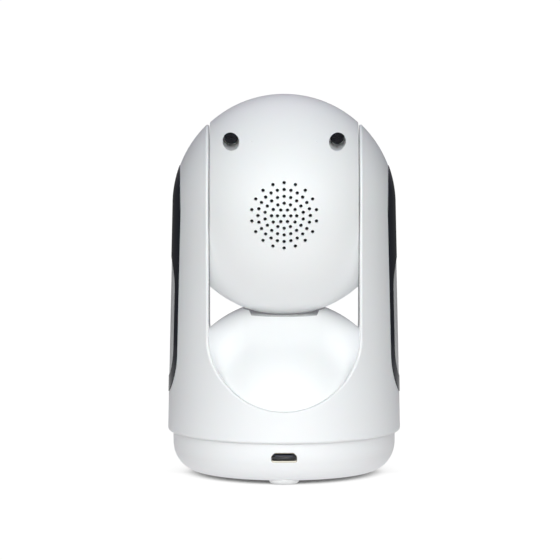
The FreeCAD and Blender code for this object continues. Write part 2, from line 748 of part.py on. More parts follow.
def side_panel(side):
    """The dark panel let into an arm's outer face, with an opening for its pale insert."""
    skin = yoke_form(-PANEL_PROUD).cut(yoke_inside(PANEL_T))
    return panel_bar(0, side).common(skin).cut(insert_bar(0, side))


def side_insert(side):
    return insert_bar(-0.1, side).common(yoke_form(0.0).cut(yoke_inside(PANEL_T)))


def tilt_bush(side):
    """A flanged bush in the arm's inner wall. The head's trunnion turns in it."""
    out = X * side
    inner = TILT + out * SLOT_HALF
    outer = TILT + out * PLATE_OUT
    sleeve = ring(TILT_BUSH_R, TRUNNION_R + RUNNING, inner, outer, out)
    flange = ring(TILT_FLANGE_R, TRUNNION_R + RUNNING, outer, outer + out * TILT_FLANGE_T, out)
    return sleeve.fuse(flange).removeSplitter()


def tilt_bushes():
    return group([tilt_bush(-1), tilt_bush(1)])


def tilt_anchor():
    """Holds the tilt motor's shaft still in the right arm, so that the motor turns the head round it."""
    seat = TILT + X * (PLATE_OUT + TILT_FLANGE_T)
    cup = cyl(TILT_FLANGE_R, seat, seat + X * 3.4, X)
    cup = cup.cut(cyl(TRUNNION_R + 0.5, seat, seat + X * 1.2, X))
    return cup.cut(cyl(SHAFT_R, seat, seat + X * 10, X))


def tilt_motor_shaft():
    return cyl(SHAFT_R, TILT + X * 18.2, TILT + X * (PLATE_OUT + TILT_FLANGE_T + 3.4), X)


def yoke_loom():
    """Leads from the pan bearing under the dome and up the left arm to the tilt axis."""
    start = V(0, 0, HUB_TOP_Z + 2.3)
    arm_x = -(PLATE_OUT + 4.2)
    points = [start, V(0, 0, 30.0), V(arm_x, 0, 38.0), V(arm_x, 0, TILT_Z), V(-HEAD_HALF - 0.9, 0, TILT_Z)]
    return wire_run(points, [2.6, 8.0, 3.2], 1.1)


# ---------------------------------------------------------------- head


def head_form(inset):
    """The head's outer form, shrunk by inset: a ball with two flat sides, turned about X."""
    half = HEAD_HALF - inset
    r = HEAD_R - inset
    low = -math.sqrt(r * r - half * half)
    edges = [
        line(TILT + X * half, TILT - X * half),
        line(TILT - X * half, TILT + V(-half, low, 0)),
        arc(TILT + V(-half, low, 0), TILT - Y * r, TILT + V(half, low, 0)),
        line(TILT + V(half, low, 0), TILT + X * half),
    ]
    return Part.Face(Part.Wire(edges)).revolve(TILT, X, 360)


def soft_edged_head():
    form = head_form(0)
    rims = []
    for edge in form.Edges:
        points = spots(edge)
        if points and all((p - TILT).Length > HEAD_R - 1e-3 for p in points):
            if all(abs(abs(p.x) - HEAD_HALF) < 1e-3 for p in points):
                rims.append(edge)
    return form.makeFillet(HEAD_EDGE_ROUND, rims)


def well_axes():
    return [TILT + V(x, 0, WELL_Z) for x in (-WELL_X, WELL_X)]


def grille_holes():
    holes = []
    for ring_r, count, phase in GRILLE_RINGS:
        for k in range(count):
            a = math.radians(phase + 360.0 * k / count)
            at = TILT + V(ring_r * math.cos(a), 0, ring_r * math.sin(a))
            holes.append(cyl(GRILLE_HOLE_R, at + Y * 33, at + Y * 45, Y))
    return holes


def head_rear_shell():
    """The back of the head: speaker grille, two deep screw wells and both trunnions."""
    half = block(V(-60, SPLIT_Y, 0), V(60, 60, 200))
    shell = soft_edged_head().common(half).cut(head_form(HEAD_WALL))
    parts = [shell]
    for out in (-X, X):
        parts.append(cyl(TRUNNION_R, TILT + out * (HEAD_HALF - 0.5), TILT + out * TRUNNION_END, out))
    rib = ring(SPEAKER_R + 1.4, SPEAKER_R + 0.1, TILT + Y * 27.5, TILT + Y * 40, Y)
    parts.append(rib.common(head_form(HEAD_WALL - 0.5)))
    for at in well_axes():
        tower = cyl(TOWER_R, at + Y * TOWER_END_Y, at + Y * 40, Y)
        parts.append(tower.common(head_form(HEAD_WALL - 0.5)))
    shell = union(parts).cut(cyl(TRUNNION_BORE_R, TILT - X * 40, TILT + X * 40, X))
    holes = grille_holes()
    holes += [cyl(WELL_R, at + Y * WELL_SEAT_Y, at + Y * 45, Y) for at in well_axes()]
    holes += [cyl(1.3, at, at + Y * 5, Y) for at in well_axes()]
    holes += [cyl(1.2, e - X * 5, e + X * 1.7, X) for e in motor_ears(TILT_SHAFT_AT, X, TILT_CAN_WAY)]
    for x in (-PINHOLE_X, PINHOLE_X):
        deep = math.sqrt(HEAD_R**2 - x**2 - PINHOLE_Z**2) - PINHOLE_DEPTH
        holes.append(cyl(PINHOLE_R, TILT + V(x, deep, PINHOLE_Z), TILT + V(x, 45, PINHOLE_Z), Y))
    return shell.cut(group(holes))


def board_lug_axes():
    return [TILT + V(x, 0, z) for x in (-14.5, 14.5) for z in (-20.5, 20.5)]


def head_front_shell():
    """The front of the head, open for the window, with posts for the long screws and the board."""
    half = block(V(-60, -60, 0), V(60, SPLIT_Y - 0.1, 200))
    shell = soft_edged_head().common(half).cut(head_form(HEAD_WALL))
    posts = [cyl(SCREW_POST_R, at - Y * 30, at + Y * (TOWER_END_Y - 0.05), Y) for at in well_axes()]
    posts += [cyl(2.1, at - Y * 36, at + Y * SENSOR_BOARD_Y, Y) for at in board_lug_axes()]
    shell = union([shell] + [post.common(head_form(HEAD_WALL - 0.6)) for post in posts])
    cuts = [cyl(WINDOW_R + SNUG, TILT - Y * 60, TILT - Y * 25, Y)]
    cuts += [cyl(1.1, at - Y * 15, at + Y * 5, Y) for at in well_axes()]
    cuts += [cyl(0.9, at - Y * 25.4, at - Y * 20, Y) for at in board_lug_axes()]
    mic = TILT + Z * MIC_Z
    cuts.append(cyl(0.5, mic - Y * 45, mic - Y * 20, Y))
    for tool in cuts:
        shell = shell.cut(tool)
    return shell


def main_board_axes():
    return [TILT + V(x, 0, z) for x in (-17.5, 17.5) for z in (-18.0, 15.5)]


def head_chassis():
    """The black frame inside the head, with posts for the main board."""
    plate = block(TILT + V(-21, CHASSIS_Y, -22), TILT + V(21, CHASSIS_Y + CHASSIS_T, 27))
    pieces = [plate.common(ball(34.5, TILT))]
    pieces += [cyl(2.2, at + Y * (CHASSIS_Y + 0.5), at + Y * MAIN_BOARD_Y, Y) for at in main_board_axes()]
    frame = union(pieces)
    cuts = [cyl(TOWER_R + 0.2, at, at + Y * 45, Y) for at in well_axes()]
    cuts += [cyl(0.9, at + Y * (CHASSIS_Y - 1), at + Y * 20, Y) for at in main_board_axes()]
    low = CHASSIS_Y - 1
    cuts.append(block(TILT + V(-18, low, -13), TILT + V(12, low + 6, 11)))
    for tool in cuts:
        frame = frame.cut(tool)
    return frame


def head_screws():
    return group(screw(at - Y * 14, at + Y * WELL_SEAT_Y, Y, 1.1, 2.4, 1.6) for at in well_axes())


def lens_window():
    """The dark window, a slice of the head's own ball with a hole for the lens."""
    cap = ball(HEAD_R, TILT).cut(ball(HEAD_R - HEAD_WALL, TILT))
    cap = cap.common(cyl(WINDOW_R, TILT - Y * 60, TILT - Y * 10, Y))
    return cap.cut(cyl(LENS_HOLE_R, TILT - Y * 60, TILT - Y * 10, Y))


def window_gasket():
    """Adhesive ring that holds the window against the front shell."""
    band = ball(HEAD_R - HEAD_WALL, TILT).cut(ball(HEAD_R - HEAD_WALL - 0.8, TILT))
    return band.common(ring(WINDOW_R + 1.4, WINDOW_R - 1.8, TILT - Y * 60, TILT - Y * 10, Y))


def lens_bezel():
    body = ring(LENS_HOLE_R - 0.08, 5.75, TILT - Y * 37.6, TILT - Y * 32.6, Y)
    return body.cut(Part.makeCone(6.7, 5.75, 1.6, TILT - Y * 37.6, Y))


def lens_barrel():
    barrel = ring(5.7, 4.9, TILT - Y * 35.4, TILT - Y * 25.0, Y)
    seat = ring(5.3, 3.2, TILT - Y * 31.5, TILT - Y * 30.4, Y)
    return barrel.fuse(seat).removeSplitter()


def lens_elements():
    """The lens's front and rear glasses."""
    front = cyl(4.85, TILT - Y * 40, TILT - Y * 33.2, Y).common(ball(9.0, TILT - Y * 27.0))
    rear = cyl(3.1, TILT - Y * 31.3, TILT - Y * 30.0, Y)
    return group([front, rear])


def lens_holder():
    body = block(TILT + V(-8, -29.6, -8), TILT + V(8, SENSOR_BOARD_Y, 8))
    body = body.cut(cyl(5.7, TILT - Y * 30, TILT - Y * 25.0, Y))
    return body.cut(block(TILT + V(-5.5, -25.0, -5.5), TILT + V(5.5, -22.0, 5.5)))


def image_sensor():
    return block(TILT + V(-4.5, SENSOR_BOARD_Y - 1.2, -4.5), TILT + V(4.5, SENSOR_BOARD_Y, 4.5))


def sensor_board():
    back = SENSOR_BOARD_Y + HEAD_BOARD_T
    board = cyl(SENSOR_BOARD_R, TILT + Y * SENSOR_BOARD_Y, TILT + Y * back, Y)
    board = board.common(block(TILT + V(-19, -30, -40), TILT + V(19, 0, 40)))
    for at in board_lug_axes():
        board = board.cut(cyl(1.0, at - Y * 30, at, Y))
    return board


def head_board_screws():
    """Eight equal screws, four for each of the head's boards."""
    seats = [at + Y * (SENSOR_BOARD_Y + HEAD_BOARD_T) for at in board_lug_axes()]
    seats += [at + Y * (MAIN_BOARD_Y + HEAD_BOARD_T) for at in main_board_axes()]
    return group(screw(seat - Y * 4.0, seat, Y, 0.9, 1.8, 1.0) for seat in seats)


def infrared_leds():
    leds = []
    for k in range(LED_COUNT):
        a = 2 * math.pi * (k + 0.5) / LED_COUNT
        at = TILT + V(LED_RING_R * math.cos(a), 0, LED_RING_R * math.sin(a))
        body = cyl(LED_R, at - Y * 28.0, at + Y * SENSOR_BOARD_Y, Y)
        leds.append(body.fuse(ball(LED_R, at - Y * 28.0)).removeSplitter())
    return group(leds)


def light_sensor():
    at = TILT + Z * LED_RING_R
    return cyl(1.5, at - Y * 27.5, at + Y * SENSOR_BOARD_Y, Y)


def microphone():
    at = TILT + Z * MIC_Z
    return cyl(2.0, at - Y * 23.7, at + Y * SENSOR_BOARD_Y, Y)


def main_board():
    back = MAIN_BOARD_Y + HEAD_BOARD_T
    board = block(TILT + V(-20, MAIN_BOARD_Y, -22.5), TILT + V(20, back, 19))
    for at in main_board_axes():
        board = board.cut(cyl(1.0, at, at + Y * 20, Y))
    return board


def main_board_parts():
    """Processor, radio can, memory and connectors on the main board."""
    y = MAIN_BOARD_Y + HEAD_BOARD_T
    return group([
        block(TILT + V(-8, y, -8), TILT + V(4, y + 1.2, 4)),
        block(TILT + V(7, y, -14), TILT + V(17, y + 2.2, -3)),
        block(TILT + V(-16, y, -12), TILT + V(-11, y + 1.0, -4)),
        block(TILT + V(-17, 13.0, 1), TILT + V(-12.5, MAIN_BOARD_Y, 9)),
        block(TILT + V(6, y, 8), TILT + V(13, y + 2.4, 12)),
    ])


def inner_layer(depth, thickness):
    """A thin layer lying against the inside of the head's wall."""
    outer = HEAD_R - HEAD_WALL - depth
    return ball(outer, TILT).cut(ball(outer - thickness, TILT))


def antenna():
    """A flexible aerial along the inside of the rear shell's crown."""
    return inner_layer(0.05, 0.3).common(block(TILT + V(-9, 2, 20), TILT + V(9, 20, 60)))


def grille_cloth():
    """Dark cloth behind the speaker holes."""
    return inner_layer(0.02, 0.3).common(cyl(12.6, TILT + Y * 20, TILT + Y * 60, Y))


def speaker_gasket():
    foam = ring(SPEAKER_R, 11.8, TILT + Y * SPEAKER_Y, TILT + Y * 40, Y)
    return foam.common(ball(HEAD_R - HEAD_WALL - 0.4, TILT))


def speaker_basket():
    frame = cyl(SPEAKER_R, TILT + Y * 25.2, TILT + Y * SPEAKER_Y, Y)
    return frame.cut(Part.makeCone(7.0, 12.0, 4.8, TILT + Y * 26.4, Y))


def speaker_cone():
    """The speaker's paper cone and dust cap."""
    outer = Part.makeCone(7.0, 11.5, 4.3, TILT + Y * 26.5, Y)
    inner = Part.makeCone(6.6, 11.1, 4.3, TILT + Y * 26.9, Y)
    cap = cyl(3.2, TILT + Y * 26.8, TILT + Y * 28.2, Y)
    return union([outer.cut(inner), cap])


def speaker_magnet():
    return cyl(7.5, TILT + Y * 20.6, TILT + Y * 25.2, Y)


def tilt_motor():
    return motor(TILT_SHAFT_AT, X, TILT_CAN_WAY)


def head_loom():
    """Leads from the main board to the hollow left trunnion, ending on the tilt axis."""
    out = -(HEAD_HALF + 0.6)
    points = [TILT + V(-14.8, 13.0, 5), TILT + V(-14.8, 4.0, 5), TILT + V(-14.8, 0, 0), TILT + V(out, 0, 0)]
    return wire_run(points, [2.2, 1.8], 1.1)


# ---------------------------------------------------------------- export

PARTS = {
    "base_shell": base_shell,
    "base_cover": base_cover,
    "ballast_plate": ballast_plate,
    "rubber_feet": rubber_feet,
    "tripod_insert": tripod_insert,
    "power_board": power_board,
    "power_board_parts": power_board_parts,
    "small_base_screws": small_base_screws,
    "socket_shell": socket_shell,
    "socket_tongue": socket_tongue,
    "pair_button": pair_button,
    "push_switch": push_switch,
    "base_screws": base_screws,
    "base_loom": base_loom,
    "pan_gear": pan_gear,
    "pan_retainer": pan_retainer,
    "pan_pinion": pan_pinion,
    "pan_motor_shaft": pan_motor_shaft,
    "pan_motor": pan_motor,
    "pan_motor_screws": lambda: motor_screws(PAN_SHAFT_AT, -Z, PAN_CAN_WAY),
    "pan_bush": pan_bush,
    "yoke_shell": yoke_shell,
    "inner_cover": inner_cover,
    "yoke_floor": yoke_floor,
    "yoke_floor_screws": yoke_floor_screws,
    "left_side_panel": lambda: side_panel(-1),
    "right_side_panel": lambda: side_panel(1),
    "left_side_insert": lambda: side_insert(-1),
    "right_side_insert": lambda: side_insert(1),
    "tilt_bushes": tilt_bushes,
    "tilt_anchor": tilt_anchor,
    "tilt_motor_shaft": tilt_motor_shaft,
    "yoke_loom": yoke_loom,
    "head_rear_shell": head_rear_shell,
    "head_front_shell": head_front_shell,
    "head_chassis": head_chassis,
    "head_screws": head_screws,
    "lens_window": lens_window,
    "window_gasket": window_gasket,
    "lens_bezel": lens_bezel,
    "lens_barrel": lens_barrel,
    "lens_elements": lens_elements,
    "lens_holder": lens_holder,
    "image_sensor": image_sensor,
    "sensor_board": sensor_board,
    "head_board_screws": head_board_screws,
    "infrared_leds": infrared_leds,
    "light_sensor": light_sensor,
    "microphone": microphone,
    "main_board": main_board,
    "main_board_parts": main_board_parts,
    "antenna": antenna,
    "grille_cloth": grille_cloth,
    "speaker_gasket": speaker_gasket,
    "speaker_basket": speaker_basket,
    "speaker_cone": speaker_cone,
    "speaker_magnet": speaker_magnet,
    "tilt_motor": tilt_motor,
    "tilt_motor_screws": lambda: motor_screws(TILT_SHAFT_AT, X, TILT_CAN_WAY),
    "head_loom": head_loom,
}


def main():
    os.makedirs("parts", exist_ok=True)
    for name, make in PARTS.items():
        shape = make()
        good = shape.isValid() and all(s.Volume > 0 and s.isClosed() for s in shape.Solids)
        verdict = "ok" if good else "BAD"
        print(f"{name:20s} solids {len(shape.Solids):2d} volume {shape.Volume:9.1f} {verdict}")
        shape.exportStep(os.path.join("parts", name + ".step"))


main()
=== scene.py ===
"""Looks of the pan-and-tilt camera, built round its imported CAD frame."""

import itertools
import json
import math
import random

import bmesh
import bpy
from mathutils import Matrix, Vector


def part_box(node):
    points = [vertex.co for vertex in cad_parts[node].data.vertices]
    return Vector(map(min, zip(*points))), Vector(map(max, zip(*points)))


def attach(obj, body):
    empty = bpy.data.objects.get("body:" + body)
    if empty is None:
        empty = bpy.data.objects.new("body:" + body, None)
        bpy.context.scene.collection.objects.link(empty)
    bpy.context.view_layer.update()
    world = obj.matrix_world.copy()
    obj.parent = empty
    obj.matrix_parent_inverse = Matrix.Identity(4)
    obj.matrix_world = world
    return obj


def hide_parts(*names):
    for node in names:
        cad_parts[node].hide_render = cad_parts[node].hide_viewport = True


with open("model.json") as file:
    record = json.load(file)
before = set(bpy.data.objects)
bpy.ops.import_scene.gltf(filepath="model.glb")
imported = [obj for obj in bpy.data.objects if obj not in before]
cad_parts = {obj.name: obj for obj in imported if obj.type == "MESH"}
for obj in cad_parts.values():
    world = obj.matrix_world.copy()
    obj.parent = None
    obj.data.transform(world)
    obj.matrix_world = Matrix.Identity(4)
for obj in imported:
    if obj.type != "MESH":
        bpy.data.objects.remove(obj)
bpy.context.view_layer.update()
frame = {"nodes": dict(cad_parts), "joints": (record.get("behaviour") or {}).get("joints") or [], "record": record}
nodes = frame["nodes"]

MM = 0.001
JOINTS = {joint["name"]: joint for joint in frame["joints"]}
TILT = Vector(JOINTS["tilt"]["pos_m"])
X, Y, Z = Vector((1, 0, 0)), Vector((0, 1, 0)), Vector((0, 0, 1))

# ------------------------------------------------------------ camera

VIEW_ELEVATION = math.radians(6.5)
VIEW_DISTANCE = 2.8
VIEW_WIDTH = 0.1928  # what the picture's width covers at the object
VIEW_SIDE = 0.00141  # the object stands a little to one side of the picture's middle
VIEW_HEIGHT = 0.0668
SENSOR_WIDTH = 36.0


def make_camera():
    data = bpy.data.cameras.new("camera")
    data.sensor_width = SENSOR_WIDTH
    data.lens = data.sensor_width * VIEW_DISTANCE / VIEW_WIDTH
    data.clip_start = 0.05
    data.clip_end = 50.0
    camera = bpy.data.objects.new("camera", data)
    back = Vector((0.0, math.cos(VIEW_ELEVATION), math.sin(VIEW_ELEVATION)))
    camera.location = Vector((VIEW_SIDE, 0.0, VIEW_HEIGHT)) + back * VIEW_DISTANCE
    camera.rotation_mode = "QUATERNION"
    camera.rotation_quaternion = (-back).to_track_quat("-Z", "Y")
    bpy.context.scene.collection.objects.link(camera)
    bpy.context.scene.camera = camera


# ------------------------------------------------------------ writing node trees


class Graph:
    """A short way to write a node tree. Each method gives the output socket of what it adds."""

    def __init__(self, tree):
        self.tree = tree
        tree.nodes.clear()

    def add(self, kind, inputs=None, **settings):
        node = self.tree.nodes.new(kind)
        for key, value in settings.items():
            setattr(node, key, value)
        for key, value in (inputs or {}).items():
            if isinstance(value, bpy.types.NodeSocket):
                self.tree.links.new(value, node.inputs[key])
            else:
                node.inputs[key].default_value = value
        return node

    def object_place(self):
        return self.add("ShaderNodeTexCoord").outputs["Object"]

    def math(self, operation, a, b=0.0):
        return self.add("ShaderNodeMath", {0: a, 1: b}, operation=operation).outputs[0]

    def vector(self, operation, a, b=(0, 0, 0), output="Vector"):
        return self.add("ShaderNodeVectorMath", {0: a, 1: b}, operation=operation).outputs[output]

    def noise(self, at, scale, detail=2.0):
        return self.add("ShaderNodeTexNoise", {"Vector": at, "Scale": scale, "Detail": detail}).outputs["Fac"]

    def cells(self, at, scale, output="Distance", **settings):
        return self.add("ShaderNodeTexVoronoi", {"Vector": at, "Scale": scale}, **settings).outputs[output]

    def span(self, value, from_low, from_high, to_low, to_high):
        inputs = {"Value": value, 1: from_low, 2: from_high, 3: to_low, 4: to_high}
        return self.add("ShaderNodeMapRange", inputs).outputs[0]

    def tint(self, factor, a, b):
        """From colour a to colour b. Each is a colour or a socket."""
        node = self.add("ShaderNodeMix", {0: factor}, data_type="RGBA")
        for index, value in ((6, a), (7, b)):
            if isinstance(value, bpy.types.NodeSocket):
                self.tree.links.new(value, node.inputs[index])
            else:
                node.inputs[index].default_value = (*value[:3], 1)
        return node.outputs[2]

    def stretched(self, at, scale, turn=(0, 0, 0)):
        node = self.add("ShaderNodeMapping", {"Vector": at, "Scale": scale})
        node.inputs["Rotation"].default_value = [math.radians(angle) for angle in turn]
        return node.outputs[0]

    def bump(self, height, depth, normal=None):
        """Relief of a height that runs from 0 to 1, this many millimetres deep."""
        inputs = {"Height": height, "Strength": 1.0, "Distance": depth * MM}
        if normal is not None:
            inputs["Normal"] = normal
        return self.add("ShaderNodeBump", inputs).outputs[0]

    def sharp_edges(self, radius):
        """0 on open surfaces, rising to 1 at edges sharper than this radius in millimetres."""
        soft = self.add("ShaderNodeBevel", {"Radius": radius * MM}, samples=4).outputs[0]
        true = self.add("ShaderNodeNewGeometry").outputs["Normal"]
        same = self.vector("DOT_PRODUCT", soft, true, "Value")
        return self.span(same, 0.98, 0.75, 0.0, 1.0)

    def shader(self, inputs, **fixed):
        """The principled shader. Fixed values go straight on its own sockets."""
        node = self.add("ShaderNodeBsdfPrincipled", inputs)
        for name, value in fixed.items():
            node.inputs[name.replace("_", " ")].default_value = value
        self.add("ShaderNodeOutputMaterial", {"Surface": node.outputs[0]})


def new_material(name):
    mat = bpy.data.materials.new(name)
    mat.use_nodes = True
    graph = Graph(mat.node_tree)
    return mat, graph, graph.object_place()


def shaded(color, factor):
    """A colour made lighter or darker."""
    return tuple(min(1.0, channel * factor) for channel in color)


# ------------------------------------------------------------ stage

# The studio's light by direction: aim, how tight the lobe is, and its colour
LOBES = [
    ((0, 1, 0), 3.0, (3.68, 3.75, 3.66)),
    ((0, 1, 1), 4.0, (0.33, 0.40, 0.47)),
    ((0, -1, 1.2), 4.0, (0.79, 0.75, 0.86)),
]
BACKDROP = 1.05
FLOOR_HALF = 3.0
FLOOR_LIGHT = (0.66, 0.66, 0.67)  # what the table throws on the object
FLOOR_SEEN = (1.03, 1.03, 1.03)  # and what the camera sees of it
FLOOR_NEAR = 0.12  # the table's glow starts to fade here
FLOOR_FAR = 0.45  # and has fallen to this share here
FLOOR_REST = 0.1
SHADOW_REACH = 0.02
SHADOW_FALL = (-6.5, -20.0)  # the contact shadow is wide beside the object, and narrow before its lit side
SHADOW_AHEAD = 0.024  # metres from where it is wide to where it is narrow
SHADOW_POWER = 1.18
SHADOW_DARKEST = 0.05


def make_world():
    """White to the camera, and soft lobes of light for everything else."""
    world = bpy.data.worlds.new("studio")
    bpy.context.scene.world = world
    world.use_nodes = True
    g = Graph(world.node_tree)
    way = g.add("ShaderNodeTexCoord").outputs["Generated"]
    total = (0.0, 0.0, 0.0)
    for aim, power, color in LOBES:
        facing = g.vector("DOT_PRODUCT", way, Vector(aim).normalized(), "Value")
        lobe = g.math("POWER", g.math("MAXIMUM", facing), power)
        term = g.add("ShaderNodeVectorMath", {0: color, "Scale": lobe}, operation="SCALE").outputs[0]
        total = g.vector("ADD", term, total)
    light = g.add("ShaderNodeBackground", {"Color": total})
    seen = g.add("ShaderNodeBackground", {"Color": (1, 1, 1, 1), "Strength": BACKDROP})
    to_camera = g.add("ShaderNodeLightPath").outputs["Is Camera Ray"]
    mix = g.add("ShaderNodeMixShader", {0: to_camera, 1: light.outputs[0], 2: seen.outputs[0]})
    g.add("ShaderNodeOutputWorld", {"Surface": mix.outputs[0]})


def floor_material():
    """A pale table. It glows softly, fades with distance, and shows the object's contact shadow."""
    mat, g, at = new_material("floor")
    near = g.add("ShaderNodeAmbientOcclusion", {"Distance": SHADOW_REACH}, samples=16)
    ahead = g.add("ShaderNodeSeparateXYZ", {0: at}).outputs["Y"]
    fall = g.span(ahead, 0.0, SHADOW_AHEAD, *SHADOW_FALL)
    hidden = g.math("EXPONENT", g.math("MULTIPLY", g.math("POWER", near.outputs["AO"], SHADOW_POWER), fall))
    lit = g.math("SUBTRACT", 1.0, hidden)
    shade = g.add("ShaderNodeClamp", {"Value": lit, "Min": SHADOW_DARKEST, "Max": 1.0}).outputs[0]
    away = g.vector("LENGTH", at, output="Value")
    fade = g.span(away, FLOOR_NEAR, FLOOR_FAR, 1.0, FLOOR_REST)
    seen = g.add("ShaderNodeEmission", {"Color": (*FLOOR_SEEN, 1), "Strength": shade})
    cast = g.add("ShaderNodeEmission", {"Color": (*FLOOR_LIGHT, 1), "Strength": fade})
    to_camera = g.add("ShaderNodeLightPath").outputs["Is Camera Ray"]
    mix = g.add("ShaderNodeMixShader", {0: to_camera, 1: cast.outputs[0], 2: seen.outputs[0]})
    g.add("ShaderNodeOutputMaterial", {"Surface": mix.outputs[0]})
    return mat


def make_floor():
    mesh = bpy.data.meshes.new("floor")
    s = FLOOR_HALF
    mesh.from_pydata([(-s, -s, 0), (s, -s, 0), (s, s, 0), (-s, s, 0)], [], [(0, 1, 2, 3)])
    floor = bpy.data.objects.new("floor", mesh)
    bpy.context.scene.collection.objects.link(floor)
    mesh.materials.append(floor_material())


# ------------------------------------------------------------ materials

# White neighbours light each other faintly. These glows stand in for that light
GLOW = (0.93, 0.97, 1.0, 1.0)
HEAD_GLOW = ((0.0, 0.4, 0.02), (0.8, 1.0, 0.04))  # bands of how far down a face looks: start, end, strength
BASE_GLOW = ((0.3, 0.95, 0.12),)
NOOK_START = 0.013  # metres from the middle, across the camera
NOOK_END = 0.0257  # the dome ends and the arms start
NOOK_GLOW = 0.17
NOOK_STEP = 0.0001
ARM_SHARE = 0.3
NOOK_FADE = (0.038, 0.050, 0.3, 1.0)  # from this height up to this one, and the shares there


def down_light(g, bands):
    """The light a white neighbour throws on what faces down, a sum of bands."""
    normal = g.add("ShaderNodeNewGeometry").outputs["Normal"]
    down = g.math("MULTIPLY", g.add("ShaderNodeSeparateXYZ", {0: normal}).outputs["Z"], -1.0)
    total = 0.0
    for start, end, strength in bands:
        total = g.math("ADD", g.span(down, start, end, 0.0, strength), total)
    return total


def nook_light(g, at):
    """The light that the arms throw on the dome's sides, and a little on each other."""
    place = g.add("ShaderNodeSeparateXYZ", {0: at}).outputs
    across = g.math("ABSOLUTE", place["X"])
    on_dome = g.span(across, NOOK_START, NOOK_END, 0.0, NOOK_GLOW)
    share = g.span(across, NOOK_END, NOOK_END + NOOK_STEP, 1.0, ARM_SHARE)
    return g.math("MULTIPLY", g.math("MULTIPLY", on_dome, share), g.span(place["Z"], *NOOK_FADE))


def moulded_white(name, color, roughness, texture, under_glow=None):
    """White moulded plastic: flow marks, the mould's spark-eroded grain, edges polished by handling, and a painted
    highlight that makes the edges lighter in colour.
    """
    mat, g, at = new_material(name)
    flow = g.noise(at, 28.0)
    grain = g.cells(at, 4200.0, feature="SMOOTH_F1")
    fine = g.noise(at, 2600.0, 3.0)
    edges = g.sharp_edges(0.5)
    body = g.tint(flow, shaded(color, 0.985), shaded(color, 1.01))
    # Painted highlight: the edges are made lighter in colour (the lower roughness at edges is the polish)
    body = g.tint(edges, body, shaded(color, 1.03))
    gloss = g.span(fine, 0.3, 0.7, roughness - 0.03, roughness + 0.03)
    gloss = g.math("SUBTRACT", gloss, g.math("MULTIPLY", edges, 0.08))
    relief = g.bump(g.math("ADD", grain, fine), texture)
    inputs = {"Base Color": body, "Roughness": gloss, "Normal": relief}
    if under_glow:
        inputs["Emission Strength"] = down_light(g, under_glow)
    g.shader(inputs, IOR=1.52, Subsurface_Weight=0.05, Subsurface_Scale=0.002, Coat_Weight=0.06,
             Coat_Roughness=0.25, Emission_Color=GLOW)
    return mat


def polished_white(name, color):
    """Polished white plastic, with hairline rub marks in its gloss."""
    mat, g, at = new_material(name)
    flow = g.noise(at, 20.0)
    rubs = g.noise(g.stretched(at, (300.0, 300.0, 4200.0), (24, 0, 0)), 1.0, 3.0)
    body = g.tint(flow, shaded(color, 0.99), shaded(color, 1.005))
    gloss = g.span(rubs, 0.55, 0.75, 0.15, 0.21)
    wave = g.bump(g.noise(at, 90.0), 0.01)
    inputs = {"Base Color": body, "Roughness": gloss, "Normal": wave, "Emission Strength": nook_light(g, at)}
    g.shader(inputs, IOR=1.53, Subsurface_Weight=0.05, Subsurface_Scale=0.002, Coat_Weight=0.3,
             Coat_Roughness=0.08, Emission_Color=GLOW)
    return mat


def piano_black(name, color):
    """Polished near-black plastic with fine crossed polishing marks and a trace of orange peel."""
    mat, g, at = new_material(name)
    first = g.noise(g.stretched(at, (180.0, 3600.0, 220.0), (12, 8, 35)), 1.0, 3.0)
    second = g.noise(g.stretched(at, (3200.0, 260.0, 150.0), (-20, 5, -15)), 1.0, 3.0)
    marks = g.math("MAXIMUM", g.span(first, 0.66, 0.74, 0.0, 1.0), g.span(second, 0.68, 0.76, 0.0, 1.0))
    cloud = g.noise(at, 45.0)
    body = g.tint(cloud, shaded(color, 0.8), shaded(color, 1.25))
    gloss = g.math("ADD", g.math("MULTIPLY", marks, 0.10), g.span(cloud, 0.3, 0.7, 0.07, 0.10))
    peel = g.bump(g.noise(at, 420.0), 0.002)
    g.shader({"Base Color": body, "Roughness": gloss, "Normal": peel}, IOR=1.42, Specular_IOR_Level=0.4)
    return mat


def smoked_window(name):
    """Dark acrylic that lets a little light through to the lamps behind it."""
    mat, g, at = new_material(name)
    cloud = g.noise(at, 60.0)
    body = g.tint(cloud, (0.075, 0.06, 0.075), (0.09, 0.07, 0.085))
    marks = g.noise(g.stretched(at, (2800.0, 300.0, 240.0), (0, 0, 30)), 1.0, 3.0)
    gloss = g.span(marks, 0.66, 0.76, 0.02, 0.09)
    g.shader({"Base Color": body, "Roughness": gloss}, IOR=1.49, Transmission_Weight=0.85)
    return mat


def satin_silver(name):
    """Metallic satin paint: packed flakes under a thin matt clear coat."""
    mat, g, at = new_material(name)
    flake = g.cells(at, 7000.0, "Color")
    value = g.add("ShaderNodeSeparateColor", {0: flake}).outputs[0]
    cloud = g.noise(at, 55.0)
    body = g.tint(value, (0.66, 0.665, 0.67), (0.80, 0.805, 0.80))
    body = g.tint(g.span(cloud, 0.3, 0.7, 0.0, 0.25), body, (0.78, 0.785, 0.78))
    gloss = g.span(value, 0.0, 1.0, 0.30, 0.46)
    relief = g.bump(value, 0.004)
    g.shader({"Base Color": body, "Roughness": gloss, "Normal": relief}, Metallic=0.12,
             Coat_Weight=0.25, Coat_Roughness=0.3)
    return mat


